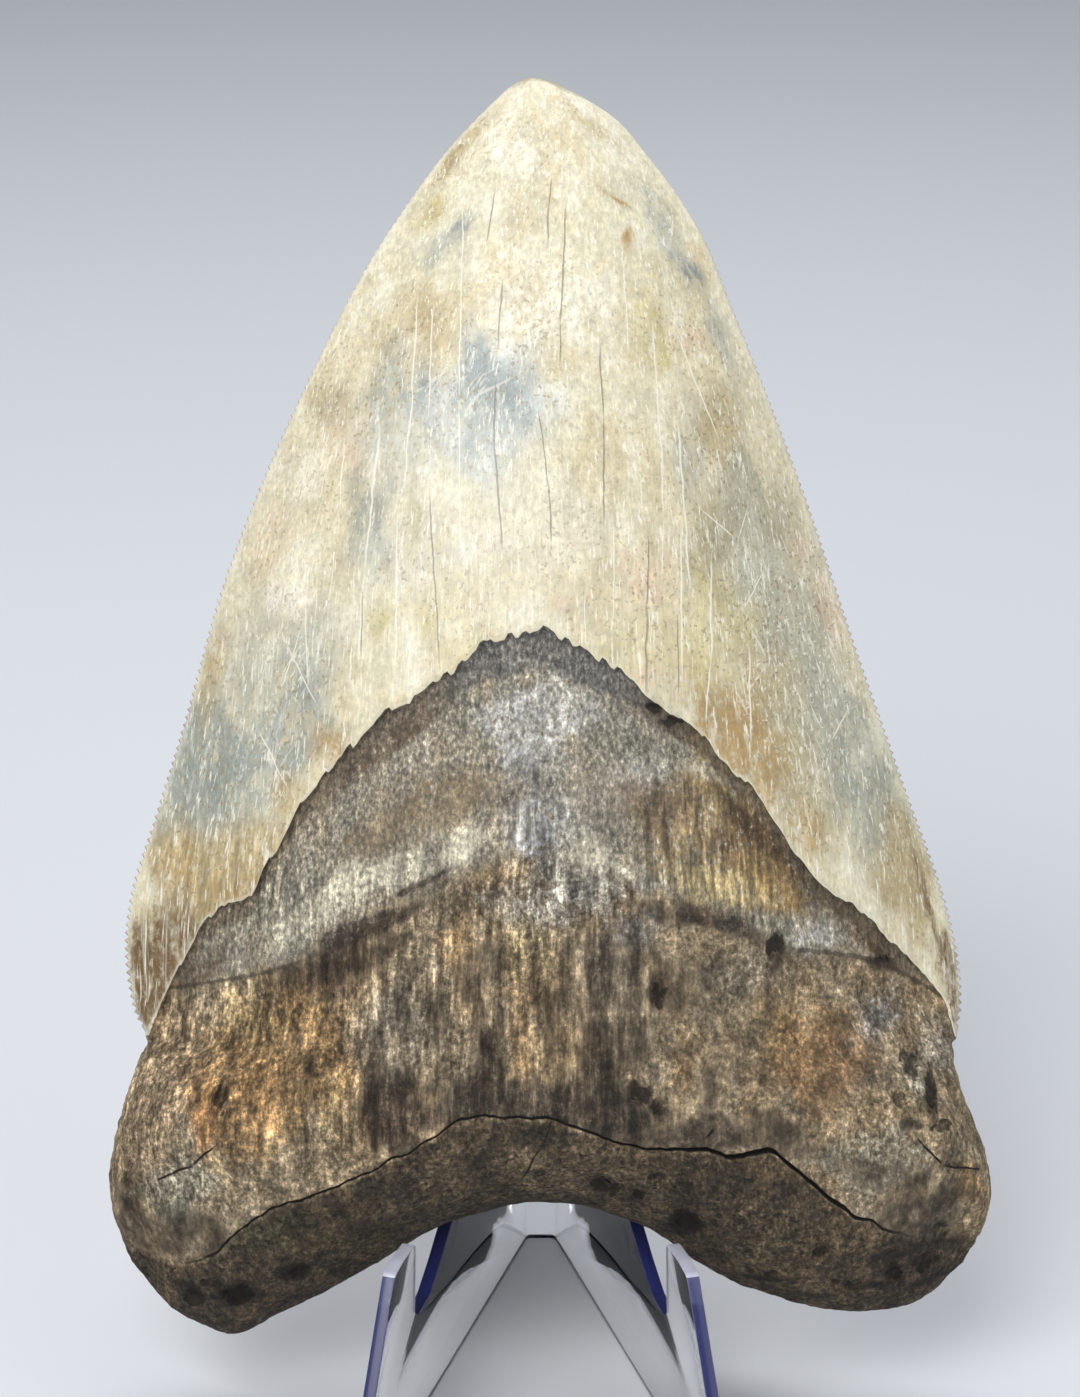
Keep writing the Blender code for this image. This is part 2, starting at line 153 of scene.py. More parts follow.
def pulled_in(rows):
    """Rows that start with x and w, moved from where they look to be to where they are."""
    moved = []
    for x, w, *rest in rows:
        bow = 1 - min(1.0, abs(x) / HALF_WIDTH) ** 2.4
        share = 1 - float(front_swell(w)) * bow / VIEW_DISTANCE
        moved.append((VIEW_CENTRE[0] + (x - VIEW_CENTRE[0]) * share,
                      VIEW_CENTRE[1] + (w - VIEW_CENTRE[1]) * share, *rest))
    return moved


left_side = smooth_curve(LEFT_SIDE)
right_side = smooth_curve(RIGHT_SIDE)
root_margin = smooth_curve(ROOT_MARGIN)
root_crack = smooth_curve(pulled_in(ROOT_CRACK))
crack_depth = smooth_curve(CRACK_DEPTH)
enamel_line = smooth_curve(pulled_in(ENAMEL_LINE))
enamel_line_back = smooth_curve(ENAMEL_LINE_BACK)
collar_foot = smooth_curve(pulled_in(COLLAR_FOOT))
tip_arc = smooth_curve(TIP_ARC)
serration_fade = smooth_curve(SERRATION_FADE)


def across(u, w):
    """x of the point that is a share u (-1 left edge, 1 right edge) of the way across at w."""
    return SIDE_TRIM * (left_side(w) * (1 - u) / 2 + right_side(w) * (1 + u) / 2)


def settle(u, curve):
    """Heights w at which a curve given over x crosses the columns u."""
    w = curve(across(u, 20.0))
    for _ in range(SETTLE_STEPS):
        w = 0.5 * w + 0.5 * curve(across(u, w))
    return w


def margin_distance(x, w):
    """Roughly how far a point of the root is from the lower margin."""
    slope = (root_margin(x + 0.5) - root_margin(x - 0.5))
    return np.maximum(w - root_margin(x), 0.0) / np.sqrt(1 + slope ** 2)


def rounded(distance, radius):
    """Height share of a quarter-round edge at a distance from it."""
    return np.sqrt(1 - (1 - np.clip(distance / radius, 0, 1)) ** 2)


def lumps(x, w, salt, scale):
    """Smooth seeded bumps between about -1 and 1."""
    flat = [noise.noise(Vector((a / scale, b / scale, salt)))
            for a, b in zip(np.ravel(x), np.ravel(w))]
    return np.array(flat).reshape(np.shape(x)) * 1.6


def bent_back(w):
    """How far the crown bends back towards its tip."""
    return TIP_BEND * np.clip(w / TIP_HEIGHT, 0, 1) ** 3


def rim_height(w):
    """t of the cutting edge and of the side of the root."""
    return RIM_FORWARD * (1 - ease(w, *ROOT_TO_CROWN)) - bent_back(w)


def uneven(right, up, salt):
    """Distance from the middle of a patch whose outline wavers, about 1 on the outline."""
    wave = 0.15 * np.sin(3.1 * right + 2.3 * up + salt)
    wave = wave + 0.11 * np.sin(5.3 * up - 4.1 * right + salt)
    return np.abs(np.hypot(right, up) + wave + 0.07 * np.sin(9.1 * right + 7.7 * up + salt))


def pit_depth(x, w):
    """Depth of the holes, worn steep at the rim and flat inside."""
    depth = np.zeros(np.shape(x))
    for px, pw, half_x, half_w, deep in pulled_in(ROOT_PITS):
        away = uneven((x - px) / half_x, (w - pw) / half_w, px)
        depth = np.maximum(depth, deep * (1 - ease(away, 0.5, 1.25)))
    return depth


def sheet_height(u, w, line_w, front):
    """t of the front or back surface at share u across and height w."""
    x = across(u, w)
    crown = ease(w, *ROOT_TO_CROWN)
    margin = margin_distance(x, w)
    rim = RIM_FORWARD * (1 - crown)
    edge = 1 - np.abs(u)
    if front:
        crown_bow = (1 - np.abs(u) ** 2.1) ** 1.05
        root_bow = (1 - np.abs(u) ** 2.8) ** 0.5
        bow = crown_bow * crown + root_bow * (1 - crown)
        t = rim + (front_swell(w) - rim) * bow * rounded(margin, FRONT_ROOT_ROUND)
        step, side = ENAMEL_STEP, 1.0
    else:
        crown_bow = 1 - np.abs(u) ** 2.6
        root_bow = (1 - np.abs(u) ** 3) ** 0.5
        bow = crown_bow * crown + root_bow * (1 - crown)
        hollow = BACK_HOLLOW * np.exp(-(x / 17) ** 2) * ease(w, 2, 14) * (1 - ease(w, 40, 75))
        t = rim - (back_swell(w) - hollow + rim) * bow * rounded(margin, BACK_ROOT_ROUND)
        step, side = ENAMEL_STEP_BACK, -1.0
    below = line_w - w
    sunk = np.where(below > 0, ease(below, 0, STEP_RUN) * (0.35 + 0.65 * np.exp(-below / 9)), 0)
    relief = -step * sunk
    relief += ROOT_LUMPS * lumps(x, w, 3.1 * side, 11.0) * (1 - crown)
    relief += CROWN_LUMPS * lumps(x, w, 9.7 * side, 16.0) * crown
    if front:
        relief -= pit_depth(x, w)
    quiet = ease(edge, 0.0, 0.12) * ease(margin + 40 * crown, 0.0, 5.0)
    return t + side * relief * quiet - bent_back(w)


def serration_stops(side_curve, low, high):
    """Count of serrations on one cutting edge, its heights, its length at each and at the first."""
    w = np.linspace(low, high, EDGE_SAMPLES)
    run = np.concatenate([[0.0], np.cumsum(np.hypot(np.diff(side_curve(w)), np.diff(w)))])
    first, last = np.interp(SERRATION_REACH, w, run)
    count = int((last - first) / SERRATION_PITCH)
    return count, w, run, first


# Rows of the mesh follow the lower margin, the crack, the enamel's edge and the serrations
v = np.linspace(-1, 1, COLUMNS + 1)
u = 0.6 * v + 0.4 * np.sin(v * math.pi / 2)
chance = np.random.default_rng(41)
foot = root_margin(across(u, -20.0))
crack = settle(u, root_crack)
for wave, height in ((1.9, 0.35), (0.6, 0.16)):
    crack += height * np.array([noise.noise(Vector((x / wave, 5.5, 0))) for x in across(u, crack)])
crack_span = 0.6 + crack_depth(across(u, crack))
line = settle(u, enamel_line)
spikes = np.repeat(chance.random(COLUMNS // 2 + 1) ** 3, 2)[:COLUMNS + 1] * (1 - np.abs(u) ** 6)
line += 1.0 * spikes + 0.2 * chance.random(COLUMNS + 1) - 0.35
line_back = settle(u, enamel_line_back)
top = tip_arc(across(u, 140.0))

rows = [foot + (crack + CRACK_ROWS[0] - foot) * (k / ROWS_UNDER_CRACK) ** 1.4
        for k in range(ROWS_UNDER_CRACK)]
crack_rows = slice(len(rows), len(rows) + len(CRACK_ROWS))
rows += [crack + off * crack_span * np.minimum(1, (crack - foot) / 1.5) for off in CRACK_ROWS]
start = rows[-1]
rows += [start + (line - STEP_RUN - start) * k / ROWS_OVER_CRACK
         for k in range(1, ROWS_OVER_CRACK + 1)]
root_rows = len(rows)
rim_low, rim_high = line[[0, -1]], top[[0, -1]]
stops = [serration_stops(curve, rim_low[k], rim_high[k])
         for k, curve in enumerate((left_side, right_side))]
serrations = min(stops[0][0], stops[1][0])
steps = np.arange(2 * serrations + 1)
shares = []
for k, (count, w, run, first) in enumerate(stops):
    stop_w = np.interp(first + count * SERRATION_PITCH * steps / steps[-1], run, w)
    head = rim_low[k] + (stop_w[0] - rim_low[k]) * np.array([0.0, 0.5])
    tail = stop_w[-1] + (rim_high[k] - stop_w[-1]) * np.array([0.35, 0.7, 1.0])
    whole = np.concatenate([head, stop_w, tail])
    shares.append((whole - rim_low[k]) / (rim_high[k] - rim_low[k]))
phase = np.concatenate([[0.0, 0.0], steps % 2, [0.0, 0.0, 0.0]])
crown_share = (shares[0][:, None] * (1 - u) + shares[1][:, None] * (1 + u)) / 2
front_w = np.vstack([np.array(rows), line + (top - line) * crown_share])
last = len(front_w) - 1
valley = np.zeros(last + 1)
valley[root_rows:] = phase

# The back shares the rim heights of the front, has half the columns, and is even inside
back_u = u[::2]
span = (line_back - STEP_RUN - foot)[::2]
even = np.linspace(0, 1, root_rows)[:, None] ** 1.15
share_left = (front_w[:root_rows, :1] - foot[0]) / span[0]
share_right = (front_w[:root_rows, -1:] - foot[-1]) / span[-1]
rim_share = share_left + (share_right - share_left) * (back_u + 1) / 2
share = rim_share + (even - rim_share) * (1 - np.abs(back_u) ** 8)
back_w = np.vstack([foot[::2] + span * share,
                    (line_back + (top - line_back) * crown_share)[:, ::2]])


def sheet_points(u_row, w_grid, line_w, front):
    """Points of one surface with its crack cut in, and each one's distance from the edge."""
    t = np.array([sheet_height(u_row, row, line_w, front) for row in w_grid])
    x = across(u_row, w_grid)
    if front:
        t[crack_rows] -= np.array(CRACK_SHAPE)[:, None] * crack_depth(x[crack_rows])
    near = np.minimum(x - left_side(w_grid), right_side(w_grid) - x)
    rim = (np.abs(u_row) == 1)[None, :] | (np.arange(last + 1) % last == 0)[:, None]
    t = np.where(rim, rim_height(w_grid), t)
    return np.stack([x, w_grid, t], axis=-1), near


def biting(u_row, w_grid, stride):
    """Share of the full serration depth at each point: + bites right, - bites left."""
    place = np.arange(len(u_row))
    from_left = np.clip(1 - place * stride / EDGE_COLUMNS, 0, 1) ** 1.5
    from_right = from_left[::-1]
    return valley[:, None] * (from_left - from_right) * serration_fade(w_grid)


front_points, front_near = sheet_points(u, front_w, line, True)
back_points, back_near = sheet_points(back_u, back_w, line_back[::2], False)

# The strips along the cutting edges keep every row, and the crown between them every third
coarse = np.append(np.arange(root_rows, last - 1, CROWN_STRIDE), [last - 1, last])
skipped = np.setdiff1d(np.arange(root_rows, last + 1), coarse)


def number_points(grid, strip, shared):
    """Point numbers of a sheet, with -1 where the coarse crown has no point."""
    used = np.ones(grid.shape[:2], bool)
    used[np.ix_(skipped, np.arange(strip + 1, grid.shape[1] - strip - 1))] = False
    ids = np.where(used, 0, -1)
    fresh = used.copy()
    if shared is not None:
        ids[:, [0, -1]] = shared[:, [0, -1]]
        ids[[0, -1]] = shared[[0, -1], ::2]
        fresh[:, [0, -1]] = False
        fresh[[0, -1]] = False
    first = 0 if shared is None else shared.max() + 1
    ids[fresh] = first + np.arange(fresh.sum())
    return ids, fresh


def strip_faces(ids):
    """Quads of a grid of point numbers, as rows of four."""
    return np.stack([ids[:-1, :-1], ids[:-1, 1:], ids[1:, 1:], ids[1:, :-1]],
                    -1).reshape(-1, 4).tolist()


def sheet_faces(ids, strip, first_row, last_row):
    """Faces of one sheet: full rows in the root and the strips, coarse rows between."""
    made = strip_faces(ids[first_row:root_rows + 1])
    full = ids[root_rows:last_row + 1]
    made += strip_faces(full[:, :strip + 1]) + strip_faces(full[:, -strip - 1:])
    kept = coarse[coarse <= last_row]
    if kept[-1] != last_row:
        kept = np.append(kept, last_row)
    made += strip_faces(ids[kept][:, strip + 1:-strip - 1])
    for low, high in zip(kept[:-1], kept[1:]):
        middle = (low + high) // 2
        for edge_column, inner_column, turn in ((strip, strip + 1, 1), (-strip - 1, -strip - 2, -1)):
            a, b = ids[low, inner_column], ids[high, inner_column]
            edge = ids[:, edge_column]
            fan = [(edge[r], a if r < middle else b, edge[r + 1]) for r in range(low, high)]
            fan.append((edge[middle], a, b))
            made += [[int(corner) for corner in corners[::turn]] for corners in fan]
    return made


front_ids, front_fresh = number_points(front_points, EDGE_COLUMNS, None)
back_strip = EDGE_COLUMNS // 2
back_ids, back_fresh = number_points(back_points, back_strip, front_ids)
points = np.vstack([front_points[front_fresh], back_points[back_fresh]])
before_tip = coarse[-2]
faces = sheet_faces(front_ids, EDGE_COLUMNS, 0, last)
back_faces = sheet_faces(back_ids, back_strip, 1, before_tip)

# The back meets the front's finer margin and its tip in fans of three
for low, high, inward in ((0, 1, 1), (last, before_tip, -1)):
    rim_ids, inner_ids = front_ids[low], back_ids[high]
    for c in range(len(inner_ids) - 1):
        a, b, d = rim_ids[2 * c:2 * c + 3].tolist()
        e, f = inner_ids[c:c + 2].tolist()
        for corners in ((a, b, e), (b, f, e), (b, d, f)):
            kept = list(dict.fromkeys(corners))
            if len(kept) == 3:
                faces.append(kept[::-inward])
faces += [corners[::-1] for corners in back_faces]

# A corner quad is cut from its corner inwards, so that neither half lies against the back
rim_corners = {int(front_ids[row, column]) for row in (0, last) for column in (0, -1)}
for face in [face for face in faces if len(face) == 4 and rim_corners & set(face)]:
    lead = next(k for k, point in enumerate(face) if point in rim_corners)
    turned = face[lead:] + face[:lead]
    faces.remove(face)
    faces += [turned[:3], [turned[0], *turned[2:]]]

skin = bpy.data.meshes.new("fossil_tooth")
turn_up = np.array([[1, 0, 0], [0, math.sin(LEAN), math.cos(LEAN)],
                    [0, -math.cos(LEAN), math.sin(LEAN)]])
skin.from_pydata(((points @ turn_up + np.array(ARCH_PLACE)) * MM).tolist(), [], faces)
skin.validate()
skin.shade_smooth()


# Stains and marks lie where they are seen on the front of the real tooth: stains under their tint, each as
# (x, w, half width, half height, tilt in degrees, strength). Two dark patches at the right lobe's end are
# painted shadow, and the tints below the crack are partly painted shade
ENAMEL_PATCHES = {
    (0.6, 0.52, 0.34): [(27, 74, 11, 26, 17, 0.75), (-25, 99, 7, 16, -25, 0.4),
        (-31, 72, 9, 20, -16, 0.3), (12, 104, 6, 12, 10, 0.35), (-10, 63, 9, 6, 30, 0.5),
        (12, 70, 6, 9, 0, 0.5), (2, 77, 13, 8, 0, 0.5)],
    (0.38, 0.33, 0.2): [(23.5, 77.5, 6, 11, 10, 0.9), (27, 60, 6, 10, 15, 0.5), (33, 50, 4, 8, 20, 0.5),
        (28.4, 57, 3.6, 7, 15, 0.5), (30, 46, 3.6, 3.6, 0, 0.5)],
    (0.34, 0.235, 0.09): [(24, 56, 5, 7, 20, 0.9), (17, 62.5, 4, 5, 20, 0.4)],
    (0.76, 0.72, 0.6): [(0, 108, 6.5, 7, 0, 0.45), (-4, 127, 4.5, 5, 0, 0.4),
        (-31, 73, 3.4, 2.4, 20, 0.6), (-29, 88, 3, 4.5, -15, 0.35), (25, 76, 3.5, 5, 10, 0.3),
        (2, 82, 7, 6, 0, 0.3)],
    (0.3, 0.32, 0.28): [(-19.4, 98.8, 2.2, 6.6, -24, 0.5), (-21.2, 82.4, 3, 6.2, 0, 0.55),
        (-40.5, 51.5, 7, 9, -13, 1), (-30, 57, 4.6, 6.4, 0, 0.6), (30, 71, 6.4, 12, 15, 0.5),
        (36, 57, 5, 9, 17, 0.6), (23.4, 86, 2.6, 9, 10, 0.45), (40.5, 46, 5, 9, 20, 0.6),
        (17.5, 90.5, 2.4, 6, 4, 0.4), (-44.6, 44, 2.6, 7, -12, 0.6)],
    (0.41, 0.32, 0.165): [(-9.8, 127.8, 1.2, 7, -38, 0.65), (-14, 107.5, 4.4, 4.2, 0, 0.55),
        (-39.8, 64.5, 1.7, 6.5, -14, 0.7), (21.2, 93.7, 2.6, 4.6, 12, 0.65),
        (-3, 118.3, 2.6, 2.8, 0, 0.35), (43.5, 40, 3.4, 8, 17, 0.8), (29, 63, 3, 4, 10, 0.4),
        (-26.5, 97, 3.2, 2, -30, 0.5), (-38.5, 39, 9.5, 6.4, -20, 1), (5.5, 130, 1, 5, 52, 0.5),
        (-34.6, 42.4, 4.4, 4.6, -30, 0.8)],
    (0.52, 0.45, 0.22): [(-13.4, 119.6, 1.3, 3, -40, 0.65), (12.6, 105.6, 2.8, 5.4, 0, 0.55),
        (14.4, 101.6, 0.9, 1.5, 0, 0.75), (-15.6, 81, 1.5, 3.4, 0, 0.7), (-20, 70.2, 1.8, 2.2, 0, 0.6),
        (-13.8, 70.3, 1.8, 2.6, 0, 0.65), (19, 73.5, 1.2, 4.2, 0, 0.6), (24.6, 70, 1.8, 3.4, 0, 0.55),
        (4.6, 93.6, 1.8, 3.4, 0, 0.15), (-9, 66, 4, 3.2, 0, 0.45), (20.4, 69, 3.6, 7, 0, 0.5),
        (11, 66, 6, 5, 0, 0.4), (-13, 73, 5, 4, 0, 0.3)],
    (0.47, 0.47, 0.42): [(-16, 93, 7, 7, 0, 0.5), (-15, 78.5, 9, 5, 0, 0.35)],
    (0.56, 0.58, 0.54): [(-6, 95.5, 8, 8, 0, 0.6)],
    (0.3, 0.335, 0.32): [(-8.2, 99.2, 2.8, 6.4, 0, 1), (-4.3, 97.8, 3.6, 4.2, 0, 0.95),
        (-6.5, 89.5, 3.6, 5, 0, 0.3), (-15.3, 98, 2.2, 3.8, 0, 0.5), (-11.6, 116.3, 1.7, 5, -48, 0.5),
        (-35.2, 64, 5, 8.4, -14, 0.35), (-27.5, 65.5, 3.6, 6.4, 0, 0.45), (15.4, 116, 1.7, 7.4, 28, 0.42),
        (21.3, 104, 1.4, 5, 25, 0.36), (-33, 52.5, 3.8, 5, 0, 0.4)],
    (0.2, 0.23, 0.24): [(17.2, 112.7, 1.1, 2.6, 50, 0.6), (12.8, 121.2, 0.9, 2.4, 40, 0.3),
        (20.4, 107, 0.7, 3.4, 27, 0.2), (-14.6, 99, 0.6, 1.6, 0, 0.4), (-8.4, 99.6, 2, 3.6, 0, 0.5),
        (-4.6, 97.6, 1.4, 1.2, 0, 0.4), (-10, 118, 0.7, 1.8, -50, 0.4)],
    (0.6, 0.45, 0.31): [(12, 75.6, 3.2, 3.2, 0, 0.55), (2.8, 72.4, 2.2, 1.8, 0, 0.45),
        (34.5, 72.4, 2, 5, 15, 0.5), (-23.8, 91.4, 2.2, 3, 0, 0.45), (17.8, 104.4, 1.8, 1.6, 0, 0.45),
        (12.4, 63.6, 1.8, 1.6, 0, 0.6), (-33.5, 80, 2.2, 5, -17, 0.4), (-24.6, 112, 1, 4, -30, 0.4),
        (30.5, 79, 1.6, 3, 15, 0.35)],
    (0.4, 0.26, 0.095): [(10, 116.2, 0.75, 1.7, 0, 0.8), (9, 120.8, 0.35, 2.8, 58, 0.7),
        (-26, 55.4, 2.6, 2.4, 0, 0.6), (-31.2, 49.6, 2.4, 2.4, -30, 0.55), (22.8, 56, 1.8, 5.6, 0, 0.8),
        (19, 57, 1, 4, 0, 0.7), (26.6, 52, 1.3, 5.2, 0, 0.75), (24.8, 62.5, 0.8, 4.4, 0, 0.5),
        (31.6, 45, 2, 3.6, 20, 0.5), (-36, 36.6, 4.6, 3.2, -30, 0.6), (-44.5, 40.5, 2.4, 4, -10, 0.4)],
    (0.15, 0.09, 0.035): [(-47.2, 27.5, 4, 8, -8, 0.95), (45.6, 38, 0.5, 6, 16, 0.75),
        (-43.6, 33.5, 2.6, 2.8, -20, 0.55), (48.4, 29.5, 1.4, 3.8, 10, 0.7), (49.4, 23.5, 1.6, 4, 0, 0.6)],
}
BODY_PATCHES = {
    (0.46, 0.45, 0.42): [(-1, 58.4, 7.5, 5, 0, 0.55), (33, 32.4, 3.2, 2.4, 0, 0.4),
        (12, 52, 4, 3, 0, 0.3), (1.5, 46, 4.5, 4.5, 0, 0.3)],
    (0.24, 0.185, 0.115): [(-13.5, 48, 9, 3.8, 22, 0.7), (-20, 44, 5, 3, 35, 0.5),
        (24, 21, 4.5, 6, 0, 0.4)],
    (0.37, 0.235, 0.105): [(-33, 16, 10, 10, 0, 0.75), (-25, 20, 4, 6, 0, 0.4),
        (31.5, 19.5, 4, 5.4, 0, 0.4), (-11, 31.5, 2.6, 3.4, 0, 0.45), (51.5, 2.6, 1.8, 2.6, 0, 0.6),
        (-3, 21, 1.8, 7, 0, 0.45), (16.5, 17, 1.6, 6, 0, 0.3)],
    (0.21, 0.15, 0.075): [(20, 43.5, 10, 6, -25, 0.8), (2, 20, 4, 6, 0, 0.4)],
    (0.24, 0.155, 0.06): [(27.4, 39.5, 5, 4, -30, 0.9), (28, 22, 3, 7, 0, 0.3)],
    (0.32, 0.23, 0.105): [(21, 50, 5, 3.4, -20, 0.75)],
    (0.38, 0.3, 0.15): [(-2.2, 31, 3.2, 4, 0, 0.4), (20.5, 38.6, 7, 2.6, -18, 0.6),
        (-36, 22, 4, 4, 0, 0.4), (-26, 9.5, 1.2, 5, 0, 0.35)],
    (0.39, 0.285, 0.175): [(-48.5, 11, 4.4, 10, 0, 0.8), (-44, 20, 3, 4, 0, 0.4)],
    (0.36, 0.33, 0.275): [(-0.6, 36, 5, 3, 0, 0.6), (47, 19, 3, 5, 0, 0.4), (-6, 37, 3, 2, 20, 0.4),
        (24, 28, 5, 3, 0, 0.3), (5.6, 38.2, 6, 2.8, -10, 0.75)],
    (0.27, 0.24, 0.185): [(-19, 20, 5, 7, 0, 0.55), (9, 28, 3, 5, 0, 0.35), (40.4, 23.6, 3.4, 4, -20, 0.4)],
    (0.5, 0.46, 0.345): [(-30, 33.6, 5, 2.2, 30, 0.5), (-23.8, 38, 5, 2.6, 27, 0.85),
        (-16.5, 40.6, 4.2, 2.2, 30, 0.9), (-10, 43, 3.8, 2, 28, 0.95), (4.8, 42.6, 3.2, 2.4, 0, 0.75),
        (20, 51.8, 4.4, 0.7, -22, 0.55), (8.9, 40.5, 2.3, 0.4, -30, 0.8)],
    (0.42, 0.385, 0.29): [(-44.5, 2, 4.4, 3.6, 0, 0.6), (40, 5.4, 6.5, 4.2, 0, 0.5),
        (45.2, 14.6, 1.1, 3, 8, 0.5)],
    (0.31, 0.31, 0.315): [(-1.2, 44.8, 3.4, 4.4, 0, 0.6), (11, 33, 4, 2, 0, 0.3),
        (40.6, 22.4, 2.4, 3.4, -20, 0.25), (-2.6, 52.6, 3, 2.4, 0, 0.3)],
    (0.245, 0.15, 0.075): [(34.3, 17, 5.8, 6.4, 0, 0.65)],
    (0.31, 0.165, 0.07): [(-41.2, 10.8, 1.5, 5, 0, 0.7), (-36, 14, 5, 8, 0, 0.25)],
    (0.08, 0.062, 0.043): [(-0.6, 12, 7, 3.4, 0, 0.95), (-9.5, 11.6, 4.6, 3.2, 15, 0.85),
        (9, 10.4, 6, 3.2, -8, 0.9), (18.7, 8, 5.4, 2.6, 0, 0.95), (28, 8.4, 5, 2.8, -12, 0.65),
        (36.5, 4.4, 4.4, 2.2, -28, 0.45), (43, 3.6, 4, 3, 0, 0.5), (9, 29.4, 4, 4.4, 0, 0.55),
        (-7.8, 29.4, 3.2, 3.4, 0, 0.45), (17.5, 26.6, 4.4, 4.4, 0, 0.45), (11, 20.5, 4, 5, 0, 0.4),
        (-44.5, -3.8, 7.5, 3.2, -15, 0.6), (-29.5, 17, 2.4, 5, 0, 0.4), (-50.4, 0.4, 1.8, 4.4, 0, 0.5),
        # The patch below, at (46, -2) at the right lobe's end, is a painted shadow
        (46, -2, 5.8, 4, 20, 0.8)],
    (0.36, 0.27, 0.14): [(18.9, 55.6, 3, 1.4, -42, 0.8)],
    (0.22, 0.19, 0.15): [(7, 48.6, 4.4, 4.4, 0, 0.6), (-4.6, 46.6, 3.2, 3.2, 0, 0.5)],
    (0.2, 0.14, 0.07): [(33.4, 36.4, 3.6, 3, -35, 0.5), (19.6, 46.2, 3.6, 2.6, -20, 0.55)],
    (0.16, 0.125, 0.085): [(-19.5, 21.5, 3, 4.6, 0, 0.55), (8, 23.4, 7, 5, 0, 0.55),
        (-4, 23, 3, 3.4, 0, 0.4), (4.6, 30, 3.6, 3.4, 0, 0.5), (20, 15.6, 5, 4, 0, 0.35)],
    (0.12, 0.085, 0.055): [(12, 60.2, 3.6, 2, -38, 0.75), (-19.8, 54.6, 10, 1.5, 38, 0.75),
        (14, 48.8, 5, 2.6, -10, 0.6), (-28, 27.2, 7, 2.2, 10, 0.55), (-41, 28.6, 5.4, 1.4, 42, 0.6)],
    (0.075, 0.043, 0.019): [(24.2, 44.8, 3, 4, -35, 0.7), (26.3, 44.4, 7.6, 1.4, -47, 0.85),
        (38.8, 33, 5.2, 1.7, -50, 0.8), (30, 40.6, 1.6, 2.4, 0, 0.6)],
    (0.046, 0.032, 0.022): [(-22.5, 33, 8.4, 1.5, 26, 0.8), (-15, 38.6, 6.5, 0.5, 27, 0.75),
        (-22.5, 29.6, 7, 2.2, 20, 0.5), (14, 35.2, 3.8, 1.3, -10, 0.5), (21, 34.2, 6, 1.5, -12, 0.7),
        (-18, 11.4, 5.2, 4.6, -40, 1), (-7, 16.4, 2, 5.6, 0, 0.85), (6.3, 16.2, 3, 4.8, 0, 0.7),
        (2.8, 13, 1.6, 3.6, 0, 0.5), (13.6, 25.8, 0.9, 2.6, -10, 0.8), (-9, 26, 2.2, 3.6, 0, 0.5),
        (-38.8, 13.4, 0.45, 3.8, 0, 0.9), (46.8, 12.6, 0.7, 3.2, 8, 0.85), (44.4, 9.6, 1.6, 0.8, 0, 0.7),
        (14.6, 59, 2.8, 0.9, -40, 1), (41, 29, 2.4, 1, -10, 0.6), (-13, 21, 0.8, 6, 0, 0.4),
        (0.6, 22, 0.9, 5, 0, 0.35), (19.6, 12, 1, 4, 0, 0.35), (28.2, 30.6, 1, 2.6, 0, 0.7),
        (-1, 51.2, 0.5, 2, 20, 0.7), (-4, 49.4, 2.4, 0.5, 35, 0.6)],
}
# Tints below the crack, kept dark partly as painted shade for a surface that faces down
UNDER_PATCHES = {
    (0.135, 0.1, 0.06): [(-34, -6, 6, 2.6, 22, 0.25), (30, -4, 8, 4, -10, 0.5), (-12, 4, 7, 2.6, 25, 0.7),
        (4, 4.2, 10, 3.4, -8, 0.95)],
    # At (46.5, -4.4), the right lobe's end, this tint is a painted shadow
    (0.034, 0.026, 0.017): [(-26, -3.4, 8, 3.2, 22, 0.4), (46.5, -4.4, 5, 2.4, 25, 0.9)],
    (0.062, 0.058, 0.032): [(-14, -1.4, 9, 1.6, 22, 0.3), (-34, -3.6, 5, 2, 20, 0.5)],
    (0.062, 0.042, 0.03): [(44, -8.4, 6.4, 3.4, 14, 0.85), (11.8, 0.6, 2.2, 1.1, -5, 0.8),
        (-32, -12, 5, 1.6, 10, 0.4), (28, 1, 4, 2, 0, 0.25)],
    (0.014, 0.011, 0.009): [(-37, -11, 3.4, 1.6, 0, 0.8), (-30.5, -8.4, 2.4, 1.2, 15, 0.8),
        (17, -2.8, 2.2, 1.6, 0, 0.85), (41.5, -6.4, 3, 0.5, 18, 0.8), (46, -9.4, 3.4, 0.5, 28, 0.8),
        (40.4, -10, 2.6, 0.5, 8, 0.7), (-43.5, -10, 2, 1, -30, 0.7), (-8, 4.6, 2.6, 1, 40, 0.5),
        (6.8, 1.8, 1.5, 1.2, 0, 0.8), (26.8, -9.2, 5, 0.5, -4, 0.8), (-46, -4, 2, 1.2, 0, 0.4)],
}

# Where the band is striped and where the enamel is scuffed, as stains without a tint
STRIPED = [(-38, 39.5, 9, 6.5, -20, 1), (20, 42, 11, 8.5, -25, 1), (-1.2, 45, 4, 4.6, 0, 1),
           (-20, 38, 11, 3, 28, 0.7), (8, 38.6, 5, 3, 0, 0.6)]
SCUFFED = [(-32.5, 66, 5.5, 9, -12, 1), (30.5, 66, 8, 15, 16, 1), (-33, 52, 5, 6, 0, 0.7),
           (-10, 98, 6, 4, 0, 0.8)]

